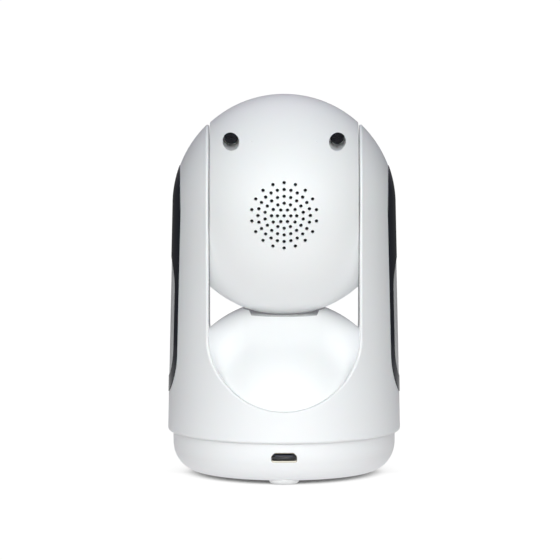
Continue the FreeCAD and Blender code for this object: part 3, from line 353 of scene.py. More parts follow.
def filled_plastic(name, color, roughness=0.5, texture=0.012):
    """Engineering plastic with short fibres in it and a matt mould grain, and a painted highlight that makes its
    edges lighter.
    """
    mat, g, at = new_material(name)
    fibres = g.noise(g.stretched(at, (500.0, 4000.0, 900.0), (15, 40, 10)), 1.0, 3.0)
    grain = g.cells(at, 3600.0)
    edges = g.sharp_edges(0.25)
    body = g.tint(g.span(fibres, 0.35, 0.7, 0.0, 1.0), shaded(color, 0.8), shaded(color, 1.35))
    # Painted highlight: the edges are made twice as light in colour
    body = g.tint(edges, body, shaded(color, 2.0))
    gloss = g.span(fibres, 0.3, 0.7, roughness + 0.08, roughness - 0.06)
    g.shader({"Base Color": body, "Roughness": gloss, "Normal": g.bump(grain, texture)}, IOR=1.5)
    return mat


def acetal(name):
    """Natural acetal: milky, waxy, with the cutter's fine rings on it."""
    mat, g, at = new_material(name)
    cloud = g.noise(at, 160.0)
    rings = g.add("ShaderNodeTexWave", {"Vector": at, "Scale": 900.0, "Distortion": 0.6}, wave_type="RINGS",
                  rings_direction="Z").outputs["Fac"]
    body = g.tint(cloud, (0.74, 0.72, 0.65), (0.84, 0.83, 0.77))
    gloss = g.span(rings, 0.0, 1.0, 0.30, 0.40)
    g.shader({"Base Color": body, "Roughness": gloss, "Normal": g.bump(rings, 0.002)}, IOR=1.48,
             Subsurface_Weight=0.25, Subsurface_Scale=0.003)
    return mat


def soft_rubber(name, color):
    """Soft rubber: dull, finely stippled, a little grey where it gathers dust."""
    mat, g, at = new_material(name)
    stipple = g.cells(at, 2600.0)
    dust = g.noise(at, 380.0, 4.0)
    body = g.tint(g.span(dust, 0.5, 0.72, 0.0, 0.5), color, shaded(color, 0.82))
    gloss = g.span(dust, 0.3, 0.7, 0.55, 0.75)
    g.shader({"Base Color": body, "Roughness": gloss, "Normal": g.bump(stipple, 0.02)}, IOR=1.45,
             Sheen_Weight=0.1, Sheen_Roughness=0.5)
    return mat


def foam(name, color):
    """Closed-cell foam, cut through its bubbles."""
    mat, g, at = new_material(name)
    bubbles = g.cells(at, 2400.0)
    big = g.cells(at, 1100.0)
    depth = g.math("MULTIPLY", bubbles, big)
    body = g.tint(g.span(depth, 0.0, 0.35, 0.0, 1.0), shaded(color, 2.2), shaded(color, 0.6))
    g.shader({"Base Color": body, "Roughness": 0.92, "Normal": g.bump(depth, 0.12)}, IOR=1.4)
    return mat


def cloth(name):
    """Black speaker cloth: two sets of threads that cross over and under."""
    mat, g, at = new_material(name)
    bands = [g.add("ShaderNodeTexWave", {"Vector": at, "Scale": 520.0}, bands_direction=way).outputs["Fac"]
             for way in ("X", "Z")]
    threads = g.math("MAXIMUM", *bands)
    fuzz = g.noise(at, 3000.0, 3.0)
    body = g.tint(g.math("MULTIPLY", threads, fuzz), (0.004, 0.004, 0.005), (0.05, 0.05, 0.055))
    g.shader({"Base Color": body, "Roughness": 0.85, "Normal": g.bump(threads, 0.04)}, Sheen_Weight=0.3,
             Sheen_Roughness=0.4)
    return mat


STAIN = 0.12  # how much darker the plating's clouds are


def metal(name, color, roughness):
    """Metal with drawn or turned marks, cloudy plating, and a painted highlight that makes its edges brighter."""
    mat, g, at = new_material(name)
    drawn = g.noise(g.stretched(at, (5200.0, 5200.0, 320.0)), 1.0, 3.0)
    cloud = g.noise(at, 240.0, 4.0)
    edges = g.sharp_edges(0.2)
    body = g.tint(g.span(cloud, 0.35, 0.7, 0.0, 1.0), color, shaded(color, 1.0 - STAIN))
    # Painted highlight: the edges are made brighter in colour
    body = g.tint(edges, body, shaded(color, 1.18))
    gloss = g.math("ADD", g.span(drawn, 0.3, 0.7, roughness * 0.75, roughness * 1.25),
                   g.span(cloud, 0.5, 0.8, 0.0, 0.08))
    g.shader({"Base Color": body, "Roughness": gloss, "Normal": g.bump(drawn, 0.003)}, Metallic=1.0)
    return mat


BOARD_GRID = 950.0  # tiles to a metre
TRACK_TURNS = 0.42  # the share of tiles whose track runs the other way
HOLE_CHANCE = 0.86  # above this chance a tile has a plated hole


def circuit_board(name, across, along):
    """Green solder mask over copper tracks, with plated holes. Its plane is given by two axes."""
    mat, g, at = new_material(name)
    split = g.add("ShaderNodeSeparateXYZ", {0: at})
    flat = g.add("ShaderNodeCombineXYZ", {0: split.outputs[across], 1: split.outputs[along]}).outputs[0]
    grid = g.add("ShaderNodeVectorMath", {0: flat, "Scale": BOARD_GRID}, operation="SCALE").outputs[0]
    tile = g.vector("FLOOR", grid)
    chance = g.add("ShaderNodeTexWhiteNoise", {"Vector": tile}).outputs["Value"]
    inside = g.vector("SUBTRACT", g.vector("FRACTION", grid), (0.5, 0.5, 0.0))
    parts = g.add("ShaderNodeSeparateXYZ", {0: inside})
    offs = [g.math("ABSOLUTE", parts.outputs[axis]) for axis in ("X", "Y")]
    turned = g.math("GREATER_THAN", chance, TRACK_TURNS)
    off = g.add("ShaderNodeMix", {0: turned, 2: offs[0], 3: offs[1]}).outputs[0]
    track = g.span(off, 0.13, 0.10, 0.0, 1.0)
    from_middle = g.vector("LENGTH", inside, output="Value")
    plated = g.math("GREATER_THAN", chance, HOLE_CHANCE)
    ring = g.math("MULTIPLY", g.span(from_middle, 0.30, 0.26, 0.0, 1.0), plated)
    hole = g.math("MULTIPLY", g.span(from_middle, 0.14, 0.11, 0.0, 1.0), ring)
    cloud = g.noise(at, 120.0)
    mask = g.tint(cloud, (0.008, 0.085, 0.035), (0.012, 0.11, 0.045))
    body = g.tint(track, mask, (0.04, 0.24, 0.09))
    body = g.tint(ring, body, (0.75, 0.62, 0.38))
    body = g.tint(hole, body, (0.01, 0.01, 0.01))
    relief = g.bump(g.math("SUBTRACT", g.math("MAXIMUM", track, ring), hole), 0.03)
    gloss = g.span(cloud, 0.3, 0.7, 0.22, 0.32)
    g.shader({"Base Color": body, "Roughness": gloss, "Normal": relief, "Metallic": ring}, IOR=1.5,
             Coat_Weight=0.3, Coat_Roughness=0.1)
    return mat


def moulded_package(name):
    """Black epoxy of electronic parts: matt, speckled, with arrises painted paler as a highlight."""
    mat, g, at = new_material(name)
    speck = g.noise(at, 4200.0, 3.0)
    edges = g.sharp_edges(0.15)
    body = g.tint(g.span(speck, 0.55, 0.7, 0.0, 1.0), (0.018, 0.018, 0.02), (0.06, 0.06, 0.062))
    # Painted highlight: the arrises are made paler
    body = g.tint(edges, body, (0.11, 0.11, 0.11))
    gloss = g.span(speck, 0.3, 0.7, 0.5, 0.65)
    g.shader({"Base Color": body, "Roughness": gloss, "Normal": g.bump(speck, 0.01)})
    return mat


def lamp_resin(name):
    """Clear, faintly smoky resin of the infrared lamps."""
    mat, g, at = new_material(name)
    swirl = g.noise(at, 600.0)
    body = g.tint(swirl, (0.72, 0.68, 0.74), (0.86, 0.82, 0.88))
    g.shader({"Base Color": body, "Roughness": g.span(swirl, 0.3, 0.7, 0.02, 0.06)}, IOR=1.5,
             Transmission_Weight=0.8)
    return mat


def coated_glass(name):
    """Lens glass with a thin coating that colours its reflections."""
    mat, g, at = new_material(name)
    sweep = g.noise(at, 70.0)
    body = g.tint(sweep, (0.62, 0.66, 0.86), (0.74, 0.78, 0.95))
    g.shader({"Base Color": body, "Roughness": g.span(sweep, 0.3, 0.7, 0.0, 0.02)}, IOR=1.62,
             Transmission_Weight=0.9, Thin_Film_Thickness=430.0, Thin_Film_IOR=1.35)
    return mat


def printed_film(name):
    """Amber film with a printed copper meander."""
    mat, g, at = new_material(name)
    wave = g.add("ShaderNodeTexWave", {"Vector": at, "Scale": 130.0, "Distortion": 0.0}, bands_direction="X")
    line = g.span(wave.outputs["Fac"], 0.45, 0.55, 0.0, 1.0)
    cloud = g.noise(at, 300.0)
    amber = g.tint(cloud, (0.36, 0.15, 0.03), (0.46, 0.21, 0.05))
    body = g.tint(line, amber, (0.78, 0.44, 0.24))
    gloss = g.span(cloud, 0.3, 0.7, 0.18, 0.3)
    g.shader({"Base Color": body, "Roughness": gloss, "Metallic": line, "Normal": g.bump(line, 0.03)},
             Coat_Weight=0.4, Coat_Roughness=0.1)
    return mat


def pulp_paper(name):
    """Pressed black paper of the speaker cone."""
    mat, g, at = new_material(name)
    fibres = g.noise(g.stretched(at, (900.0, 2600.0, 900.0), (30, 20, 50)), 1.0, 5.0)
    body = g.tint(g.span(fibres, 0.4, 0.75, 0.0, 1.0), (0.025, 0.024, 0.024), (0.11, 0.105, 0.10))
    g.shader({"Base Color": body, "Roughness": 0.88, "Normal": g.bump(fibres, 0.05)}, IOR=1.4)
    return mat


def braided_sleeve(name):
    """The looms' braided black sleeve."""
    mat, g, at = new_material(name)
    strands = [g.add("ShaderNodeTexWave", {"Vector": g.stretched(at, (1, 1, 1), turn), "Scale": 420.0},
                     bands_direction="DIAGONAL").outputs["Fac"] for turn in ((0, 0, 0), (90, 0, 0))]
    braid = g.math("MAXIMUM", *strands)
    body = g.tint(braid, (0.01, 0.01, 0.012), (0.06, 0.06, 0.066))
    gloss = g.span(braid, 0.0, 1.0, 0.6, 0.42)
    g.shader({"Base Color": body, "Roughness": gloss, "Normal": g.bump(braid, 0.08)})
    return mat


WHITE = (0.85, 0.85, 0.86)
# The head's white is the same plastic as the shell, made lighter in colour: painted light
HEAD_WHITE_LIGHTENED = (0.88, 0.88, 0.885)
WHITE_ROUGHNESS = 0.36
WHITE_GRAIN = 0.006  # millimetres deep
SLOTS = {
    "white_shell": moulded_white("white_shell", WHITE, WHITE_ROUGHNESS, WHITE_GRAIN),
    "white_gloss": polished_white("white_gloss", (0.90, 0.90, 0.905)),
    "black_gloss": piano_black("black_gloss", (0.010, 0.012, 0.020)),
    "silver_satin": satin_silver("silver_satin"),
    "black_plastic": filled_plastic("black_plastic", (0.017, 0.017, 0.019)),
    "acetal": acetal("acetal"),
    "grey_plastic": filled_plastic("grey_plastic", (0.36, 0.36, 0.37), 0.45),
    "rubber": soft_rubber("rubber", (0.80, 0.80, 0.80)),
    "foam": foam("foam", (0.02, 0.02, 0.021)),
    "cloth": cloth("cloth"),
    "steel": metal("steel", (0.60, 0.60, 0.62), 0.30),
    "black_steel": metal("black_steel", (0.025, 0.025, 0.03), 0.42),
    "plated_shell": metal("plated_shell", (0.66, 0.60, 0.50), 0.28),
    "brass": metal("brass", (0.78, 0.58, 0.28), 0.26),
    "circuit_board": circuit_board("circuit_board_upright", "X", "Z"),
    "board_parts": moulded_package("board_parts"),
    "led_resin": lamp_resin("led_resin"),
    "optical_glass": coated_glass("optical_glass"),
    "copper_film": printed_film("copper_film"),
    "paper": pulp_paper("paper"),
    "cable": braided_sleeve("cable"),
}
# The head's white: painted light, both from its lighter colour and from the glow on what faces down
HEAD_WHITE_PAINTED_LIGHT = moulded_white("white_head_painted_light", HEAD_WHITE_LIGHTENED, WHITE_ROUGHNESS, WHITE_GRAIN, HEAD_GLOW)
SOCKET_FINISH = filled_plastic("socket_blue", (0.030, 0.033, 0.055), 0.35)
OWN_FINISH = {
    "base_shell": moulded_white("white_base", WHITE, WHITE_ROUGHNESS, WHITE_GRAIN, BASE_GLOW),
    "head_rear_shell": HEAD_WHITE_PAINTED_LIGHT,
    "head_front_shell": HEAD_WHITE_PAINTED_LIGHT,
    "socket_tongue": SOCKET_FINISH,
    "lens_window": smoked_window("smoked_window"),
    "power_board": circuit_board("circuit_board_flat", "X", "Y"),
}


def paint_cad():
    for part in frame["record"]["subparts"]:
        mesh = nodes[part["node"]].data
        mesh.materials.clear()
        mesh.materials.append(OWN_FINISH.get(part["node"], SLOTS[part["material_slot"]]))


# ------------------------------------------------------------ mesh tools


SAME_POINT = 1e-7
BEVEL_SEGMENTS = 2


def in_mm(corner):
    return corner / MM


def piece(name, body, slot, build, *extra, finish=None, bevel=0.0, smooth=35.0):
    """A new piece: build fills its mesh, and it rides on a body with a slot's finish or its own."""
    mesh = bpy.data.meshes.new(name)
    bm = bmesh.new()
    build(bm)
    bmesh.ops.remove_doubles(bm, verts=bm.verts, dist=SAME_POINT)
    bmesh.ops.recalc_face_normals(bm, faces=bm.faces)
    bm.to_mesh(mesh)
    bm.free()
    mesh.materials.append(finish or SLOTS[slot])
    for other in extra:
        mesh.materials.append(SLOTS[other])
    obj = bpy.data.objects.new(name, mesh)
    bpy.context.scene.collection.objects.link(obj)
    mesh.shade_smooth()
    mesh.set_sharp_from_angle(angle=math.radians(smooth))
    if bevel:
        modifier = obj.modifiers.new("rounded", "BEVEL")
        modifier.width = bevel * MM
        modifier.segments = BEVEL_SEGMENTS
        modifier.limit_method = "ANGLE"
    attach(obj, body)
    return obj


def lathe(bm, outline, centre, axis, steps=96, change=None):
    """Turn a closed outline of (radius, along) points, in millimetres, about an axis."""
    turn = Vector(axis).to_track_quat("Z", "Y").to_matrix()
    rings = []
    for k in range(steps):
        a = 2 * math.pi * k / steps
        points = outline if change is None else [change(a, r, along) for r, along in outline]
        rings.append([
            bm.verts.new(centre + turn @ Vector((r * math.cos(a), r * math.sin(a), along)) * MM)
            for r, along in points
        ])
    count = len(outline)
    for k in range(steps):
        one, two = rings[k], rings[(k + 1) % steps]
        for i in range(count):
            j = (i + 1) % count
            bm.faces.new((one[i], two[i], two[j], one[j]))


def brick(bm, low, high, finish=0):
    """A box between two corners, in millimetres."""
    corners = itertools.product(*zip(low, high))
    v = [bm.verts.new(Vector(corner) * MM) for corner in corners]
    for face in ((0, 1, 3, 2), (4, 6, 7, 5), (0, 4, 5, 1), (2, 3, 7, 6), (0, 2, 6, 4), (1, 5, 7, 3)):
        bm.faces.new([v[i] for i in face]).material_index = finish


def loft(bm, sections, closed=False):
    """Join outlines of equally many points, one to the next."""
    rows = [[bm.verts.new(point) for point in section] for section in sections]
    count = len(rows[0])
    pairs = list(zip(rows, rows[1:]))
    if closed:
        pairs.append((rows[-1], rows[0]))
    for one, two in pairs:
        for i in range(count):
            j = (i + 1) % count
            bm.faces.new((one[i], one[j], two[j], two[i]))
    return rows


# ------------------------------------------------------------ power socket

SOCKET_SLOPE = 1.2
MOUTH_SLOPE_CUT = 0.4  # how much shorter the mouth's sloping corners are
SOCKET_CORNER = 0.6
SOCKET_WALL = 0.38
SOCKET_LIP = 0.45  # how much thicker the mouth's wall is along the bottom
SOCKET_BROW = 0.35  # and along the top
LIP_REACH = 0.5  # how high the lip's set-back goes
BROW_REACH = 0.3
SOCKET_EDGE = ((0.0, 0.05), (0.04, 0.0), (0.10, 0.02))  # the shell's front edge: how far in, how far behind
SOCKET_BEVEL = 0.10  # how deep the mouth's bevel goes
SOCKET_BACK = 0.3  # the dark moulding stands this far in from the shell's back
SOCKET_STEP = (0.6, 0.4)  # the step on its face: how far in, how high
TONGUE_T = 0.55
CONTACT_COUNT = 5
CONTACT_PITCH = 0.65
CONTACT_HALF = 0.16
CONTACT_T = 0.06


def rounded(corners, radius, steps=6):
    """A polygon's points with its corners turned into arcs."""
    points = []
    count = len(corners)
    for i, corner in enumerate(corners):
        back = (corners[i - 1] - corner).normalized()
        ahead = (corners[(i + 1) % count] - corner).normalized()
        half = back.angle(ahead) / 2
        middle = corner + (back + ahead).normalized() * radius / math.sin(half)
        start = corner + back * radius / math.tan(half) - middle
        end = corner + ahead * radius / math.tan(half) - middle
        points += [middle + start.slerp(end, k / steps) for k in range(steps + 1)]
    return points


def socket_outline(inset, y, thick=0):
    """The socket's outline in metres at one depth: wide below, with sloping upper corners. The mouth's
    lower and upper walls are thicker than its sides, and set further back."""
    low, high = map(in_mm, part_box("socket_shell"))
    half = (high.x - low.x) / 2 - inset
    top, under = high.z - inset - SOCKET_BROW * thick, low.z + inset + SOCKET_LIP * thick
    slope = SOCKET_SLOPE - MOUTH_SLOPE_CUT * thick
    right = [(half, under), (half, top - slope), (half - slope, top)]
    corners = [Vector(c) for c in [(-half, under), *right, (slope - half, top), (-half, top - slope)]]
    points = []
    for p in rounded(corners, SOCKET_CORNER - inset / 2):
        back = 0.0
        if p.y < under + LIP_REACH:
            back = SOCKET_LIP / 2
        elif p.y > top - BROW_REACH:
            back = SOCKET_BROW / 2
        points.append(Vector((p.x, y - back * thick, p.y)) * MM)
    return points


def socket_trim(bm):
    """The folded metal shell, whose mouth is bevelled inwards all round."""
    low, high = map(in_mm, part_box("socket_shell"))
    steps = [(0.0, low.y, 0)] + [(inset, high.y - behind, 0) for inset, behind in SOCKET_EDGE]
    steps += [(SOCKET_WALL, high.y - SOCKET_BEVEL, 1), (SOCKET_WALL, low.y + SOCKET_BACK, 1)]
    loft(bm, [socket_outline(*step) for step in steps], closed=True)


def socket_insulator(bm):
    """The dark moulding at the back of the socket, with a step round its face."""
    back = in_mm(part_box("socket_shell")[0]).y + SOCKET_BACK
    inset, rise = SOCKET_STEP
    steps = [(SOCKET_WALL, back), (SOCKET_WALL, back + rise), (inset, back + rise), (inset, back + 2 * rise)]
    rows = loft(bm, [socket_outline(*step, 1) for step in steps])
    bm.faces.new(rows[0])
    bm.faces.new(rows[-1])


def socket_contacts(bm):
    """Five sprung strips under the tongue, each bowed down in its middle."""
    low, high = map(in_mm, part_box("socket_tongue"))
    under = high.z - TONGUE_T
    run = ((low.y + 1.25, 0.0), (low.y + 2.2, 0.05), (high.y - 0.8, 0.09), (high.y - 0.3, 0.02))
    for k in range(CONTACT_COUNT):
        x = (k - (CONTACT_COUNT - 1) / 2) * CONTACT_PITCH
        sections = []
        for y, drop in run:
            z, w = under - drop, CONTACT_HALF
            sides = ((-w, z - CONTACT_T), (w, z - CONTACT_T), (w, z), (-w, z))
            sections.append([Vector((x + dx, y, at_z)) * MM for dx, at_z in sides])
        rows = loft(bm, sections)
        bm.faces.new(rows[0])
        bm.faces.new(rows[-1])


def make_socket():
    trim = piece("socket_trim", "base", "plated_shell", socket_trim, smooth=25.0)
    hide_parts("socket_shell")
    piece("socket_insulator", "base", "black_plastic", socket_insulator, finish=SOCKET_FINISH)
    piece("socket_contacts", "base", "brass", socket_contacts)


# ------------------------------------------------------------ tripod thread

THREAD_PITCH = 1.27
THREAD_DEPTH = 0.5
THREAD_CREST_R = 2.62
THREAD_ROWS = 72
THREAD_RUN_OUT = 0.5
KNURLS = 32
KNURL_DEPTH = 0.14
GROOVE = ((0.0, 2.0), (0.2, 2.2), (0.2, 3.4), (0.0, 3.6))  # depth, and height above the insert's foot


def tripod_thread(bm):
    """The knurled brass insert with a true inner thread."""
    low, high = map(in_mm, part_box("tripod_insert"))
    outer = (high.x - low.x) / 2
    inner = [(THREAD_CREST_R, high.z + (low.z - high.z) * k / THREAD_ROWS) for k in range(THREAD_ROWS + 1)]
    groove = [(outer - depth, low.z + up) for depth, up in GROOVE]
    outline = [(outer, low.z), *groove, (outer, high.z), *inner]

    def cut(a, r, along):
        if r > THREAD_CREST_R:
            return r - KNURL_DEPTH * (0.5 + 0.5 * math.cos(KNURLS * a)), along
        turns = along / THREAD_PITCH - a / (2 * math.pi)
        flank = abs(2 * (turns - math.floor(turns)) - 1)
        run_out = min(1.0, (along - low.z) / THREAD_RUN_OUT, (high.z - along) / THREAD_RUN_OUT)
        return r + THREAD_DEPTH * flank * max(0.0, run_out), along

    lathe(bm, outline, Vector(), Z, steps=256, change=cut)


# ------------------------------------------------------------ lens and lamps

# Outlines are given as radius, and distance in front of the tilt axis
RETAINER = [(4.93, 35.43), (5.70, 35.43), (5.70, 35.86), (5.62, 35.96), (5.12, 35.96), (4.93, 35.74)]
NOTCH_FLOOR = 35.66
NOTCH_HALF = 0.13  # the sine of half its angle
BEZEL_MOUTH = (6.66, 37.52)
BEZEL_THROAT = (5.78, 36.04)
BEZEL_STEPS = 6
BEZEL_SKIN = (0.06, 0.02)  # how far the steps' back lies outwards and to the rear
LAMP_RING_R = 14.2
LAMP_COUNT = 8
LAMP_R = 2.4
LAMP_GAP = 0.15
SENSOR_R = 1.5
TRAY_OUTER_R = 19.6
TRAY_INNER_R = 11.9
TRAY_FRONT = 27.0
TRAY_T = 0.6
CUP_FRONT = 30.2
CUP = ((0.18, TRAY_FRONT), (1.1, CUP_FRONT), (1.35, CUP_FRONT), (0.45, TRAY_FRONT))  # radius past the lamp's
MIRROR = [(0.0, 25.0), (0.55, 25.0), (1.15, 25.8), (1.3, 25.8), (0.9, 24.4), (0.0, 24.4)]
DIE_HALF = 0.25
DIE_FRONT = 25.3
DIE_BACK = 25.0


def lens_retainer(bm):
    """The ring that holds the front glass, with two notches for a pin spanner."""

    def notch(a, r, along):
        return r, min(along, NOTCH_FLOOR) if abs(math.sin(a)) < NOTCH_HALF else along

    lathe(bm, RETAINER, TILT, -Y, steps=144, change=notch)


def on_bezel(k):
    """The point k steps down the bezel's cone."""
    return [start + (end - start) * (k / BEZEL_STEPS) for start, end in zip(BEZEL_MOUTH, BEZEL_THROAT)]


def bezel_steps(bm):
    """Fine steps down the bezel's cone, which keep stray light off the lens."""
    stairs = []
    for k in range(BEZEL_STEPS):
        here, after = on_bezel(k), on_bezel(k + 1)
        stairs += [here, (after[0], here[1])]
    out, back = BEZEL_SKIN
    stairs += [BEZEL_THROAT] + [(r + out, y - back) for r, y in (BEZEL_THROAT, BEZEL_MOUTH)]
    lathe(bm, stairs, TILT, -Y, steps=128)


def lamp_places():
    """The lamps' middles, as (x, z) from the tilt axis in millimetres."""
    angles = [2 * math.pi * (k + 0.5) / LAMP_COUNT for k in range(LAMP_COUNT)]
    return [(LAMP_RING_R * math.cos(a), LAMP_RING_R * math.sin(a)) for a in angles]


def circle(radius, x=0.0, z=0.0, steps=48):
    angles = [2 * math.pi * k / steps for k in range(steps)]
    return [(x + radius * math.cos(a), z + radius * math.sin(a)) for a in angles]


def lamp_tray(bm):
    """A dark plate round the lamps, with a flared cup for each."""
    loops = [circle(TRAY_OUTER_R, steps=120), circle(TRAY_INNER_R, steps=96)]
    loops += [circle(SENSOR_R + LAMP_GAP, 0.0, LAMP_RING_R)]
    loops += [circle(LAMP_R + LAMP_GAP, x, z) for x, z in lamp_places()]
    edges = []
    for loop in loops:
        verts = [bm.verts.new(TILT + Vector((x, -TRAY_FRONT, z)) * MM) for x, z in loop]
        edges += [bm.edges.new((verts[i - 1], verts[i])) for i in range(len(verts))]
    filled = bmesh.ops.triangle_fill(bm, edges=edges, use_beauty=True, use_dissolve=False)["geom"]
    faces = [part for part in filled if isinstance(part, bmesh.types.BMFace)]
    grown = bmesh.ops.extrude_face_region(bm, geom=faces)["geom"]
    moved = [part for part in grown if isinstance(part, bmesh.types.BMVert)]
    bmesh.ops.translate(bm, verts=moved, vec=Y * TRAY_T * MM)
    cup = [(LAMP_R + wider, y) for wider, y in CUP]
    for x, z in lamp_places():
        lathe(bm, cup, TILT + Vector((x, 0, z)) * MM, -Y, steps=48)


def lamp_dies(bm):
    """Inside each lamp: a small mirror cup on its lead frame, with the die in it."""
    for x, z in lamp_places():
        lathe(bm, MIRROR, TILT + Vector((x, 0, z)) * MM, -Y, steps=32)
        up, half = in_mm(TILT).z + z, DIE_HALF
        brick(bm, (x - half, -DIE_FRONT, up - half), (x + half, -DIE_BACK, up + half), 1)


def make_lens_and_lamps():
    piece("lens_retainer", "head", "black_plastic", lens_retainer)
    piece("lens_bezel_steps", "head", "black_plastic", bezel_steps, smooth=20.0)
    piece("lamp_tray", "head", "black_plastic", lamp_tray)
    piece("lamp_dies", "head", "steel", lamp_dies, "board_parts")


# ------------------------------------------------------------ speaker

CLOTH_SPHERE_R = 35.84  # the cloth lies on the inside of the head's wall
CLOTH_R = 12.5
CLOTH_T = 0.16
THREAD_POINTS = 4  # mesh points from one thread to the next
THREAD_STEP = 0.62
THREAD_RISE = 0.03
SURROUND_R = 11.68
SURROUND_ROLL = 0.45
SURROUND_Y = 30.9
SURROUND_T = 0.12
SURROUND_STEPS = 10


def speaker_cloth(bm):
    """Woven cloth, its threads standing proud where they cross over each other."""
    step = THREAD_STEP / THREAD_POINTS
    count = int(CLOTH_R / step)
    spots = {}
    for i in range(-count, count + 1):
        for k in range(-count, count + 1):
            x, z = i * step, k * step
            if x * x + z * z > CLOTH_R**2:
                continue
            rise = THREAD_RISE * math.sin(math.pi * x / THREAD_STEP) * math.sin(math.pi * z / THREAD_STEP)
            r = CLOTH_SPHERE_R + rise
            spots[i, k] = bm.verts.new(TILT + Vector((x, math.sqrt(r * r - x * x - z * z), z)) * MM)
    for i, k in spots:
        corners = [(i, k), (i + 1, k), (i + 1, k + 1), (i, k + 1)]
        if all(c in spots for c in corners):
            bm.faces.new([spots[c] for c in corners])


def speaker_surround(bm):
    """The rolled edge that lets the cone move."""
    angles = [math.pi * k / SURROUND_STEPS for k in range(SURROUND_STEPS + 1)]
    outline = []
    for roll, way in ((SURROUND_ROLL, angles), (SURROUND_ROLL - SURROUND_T, reversed(angles))):
        outline += [(SURROUND_R + roll * math.cos(a), SURROUND_Y + roll * math.sin(a)) for a in way]
    lathe(bm, outline, TILT, Y, steps=96)


def make_speaker():
    cloth_piece = piece("speaker_cloth", "head", "cloth", speaker_cloth, smooth=80.0)
    thick = cloth_piece.modifiers.new("thickness", "SOLIDIFY")
    thick.thickness = CLOTH_T * MM
    thick.offset = 0.0
    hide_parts("grille_cloth")
    piece("speaker_surround", "head", "rubber", speaker_surround)


# ------------------------------------------------------------ boards and motors

PART_SIZES = ((1.6, 0.8, 0.5), (1.0, 0.5, 0.35), (2.0, 1.25, 0.6))
PART_GRID = 2.3
PART_SHIFT = 0.2
PART_ROOM = 1
# A part's body and its two ends: from and to as shares of its length, how much thicker, which finish
PART_BITS = ((-0.32, 0.32, 0.0, 0), (-0.5, -0.32, 0.02, 1), (0.32, 0.5, 0.02, 1))


def small_parts(bm, axes, level, area, keep_clear, share, rng):
    """Little two-ended parts on a board. axes are the indices of across, along and outward; level is where
    the board's surface lies; area and keep_clear are boxes in the board's plane."""
    across, along, outward = axes
    low_u, low_v, high_u, high_v = area
    for i in range(int((high_u - low_u) / PART_GRID)):
        for k in range(int((high_v - low_v) / PART_GRID)):
            u = low_u + (i + 0.5) * PART_GRID + rng.uniform(-PART_SHIFT, PART_SHIFT)
            v = low_v + (k + 0.5) * PART_GRID + rng.uniform(-PART_SHIFT, PART_SHIFT)
            length, width, height = rng.choice(PART_SIZES)
            upright = rng.random() < 0.5
            left_out = rng.random() > share
            if left_out or any(a - PART_ROOM < u < c + PART_ROOM and b - PART_ROOM < v < d + PART_ROOM
                               for a, b, c, d in keep_clear):
                continue
            spot = {across: u, along: v}
            long_way, wide_way = (along, across) if upright else (across, along)
            for start, end, grow, finish in PART_BITS:
                half = width / 2 + grow
                reach = {
                    long_way: (spot[long_way] + start * length, spot[long_way] + end * length),
                    wide_way: (spot[wide_way] - half, spot[wide_way] + half),
                    outward: (level, level + (height + grow)),
                }
                low, high = zip(*(reach[axis] for axis in range(3)))
                brick(bm, low, high, finish)


SCREW_ROOM = 1.6


def screw_places(across, along):
    """What to keep clear of small parts round a board's screws."""
    return [(x - SCREW_ROOM, z - SCREW_ROOM, x + SCREW_ROOM, z + SCREW_ROOM) for x in across for z in along]


# Each board: its body, the indices of its axes, the area for small parts, what is kept clear in it, the share
# of places used, and the seed. Boxes are in the board's plane. The head's are measured from the tilt axis
BOARDS = {
    "power_board": (
        "base", (0, 1, 2), (-14, 10, 14, 30),
        [(-4, 9, 4, 21), (-10.5, 23, -4.5, 29), (4, 24, 10, 30), (-14.5, 18, -9.5, 31), (9.5, 18, 14.5, 31)],
        0.6, 3,
    ),
    "main_board": (
        "head", (0, 2, 1), (-19, -21, 19, 18),
        [(-9, -9, 5, 5), (6, -15, 18, -2), (-17, -13, -10, -3), (5, 7, 14, 13)]
        + screw_places((-17.5, 17.5), (-18.0, 15.5)),
        0.6, 5,
    ),
    "sensor_board": (
        "head", (0, 2, 1), (-16, -17, 16, 17),
        screw_places((-14.5, 14.5), (-20.5, 20.5)),
        0.5, 7,
    ),
}
PART_BEVEL = 0.05


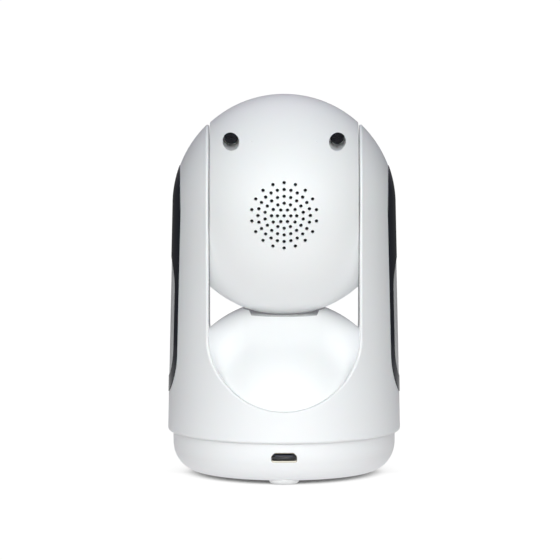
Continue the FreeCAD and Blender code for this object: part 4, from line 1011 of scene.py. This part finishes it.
def make_board_bits():
    for board, (body, axes, area, clear, share, seed) in BOARDS.items():
        level = in_mm(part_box(board)[1])[axes[2]]
        middle = in_mm(TILT).z if body == "head" else 0
        area, *clear = [(a, b + middle, c, d + middle) for a, b, c, d in [area, *clear]]

        def build(bm):
            small_parts(bm, axes, level, area, clear, share, random.Random(seed))

        piece(board + "_bits", body, "board_parts", build, "plated_shell", bevel=PART_BEVEL)


CAN_R = 10.0
CRIMPS = 18
MOTOR_OFFSET = 6.0
PAN_CAN_ANGLE = math.radians(40.0)
# The rim's outline: radius past the can's, and height over its closed end
RIM = ((-0.9, 0.10), (-0.3, 0.14), (0.10, 0.05), (0.14, -0.30), (0.14, -0.90), (0.02, -1.10), (-0.2, -1.10),
       (-0.9, -0.2))
CRIMP_DEPTH = 0.10
CRIMP_EDGE = 0.75  # the cosine at a crimp's edge


def can_rim(bm, centre, out):
    """The rolled and crimped rim round a motor can's closed end."""
    outline = [(CAN_R + wider, along) for wider, along in RIM]

    def crimp(a, r, along):
        dent = CRIMP_DEPTH if math.cos(CRIMPS * a) > CRIMP_EDGE and r > CAN_R else 0.0
        return r - dent, along

    lathe(bm, outline, centre, out, steps=216, change=crimp)


def pan_can_rim(bm):
    at = Vector(JOINTS["pinion_spin"]["pos_m"])
    centre = at + Vector((math.cos(PAN_CAN_ANGLE), math.sin(PAN_CAN_ANGLE), 0)) * MOTOR_OFFSET * MM
    centre.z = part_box("pan_motor")[1].z
    can_rim(bm, centre, Z)


def tilt_can_rim(bm):
    centre = TILT - Y * MOTOR_OFFSET * MM
    centre.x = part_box("tilt_motor")[0].x
    can_rim(bm, centre, -X)


def make_inner_details():
    thread = piece("tripod_thread", "base", "brass", tripod_thread)
    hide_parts("tripod_insert")
    make_board_bits()
    piece("pan_can_rim", "yoke", "steel", pan_can_rim)
    piece("tilt_can_rim", "head", "steel", tilt_can_rim)


# ------------------------------------------------------------ making it all

make_camera()
make_world()
make_floor()
paint_cad()
make_socket()
make_lens_and_lamps()
make_speaker()
make_inner_details()
bpy.context.scene.view_settings.view_transform = "Standard"
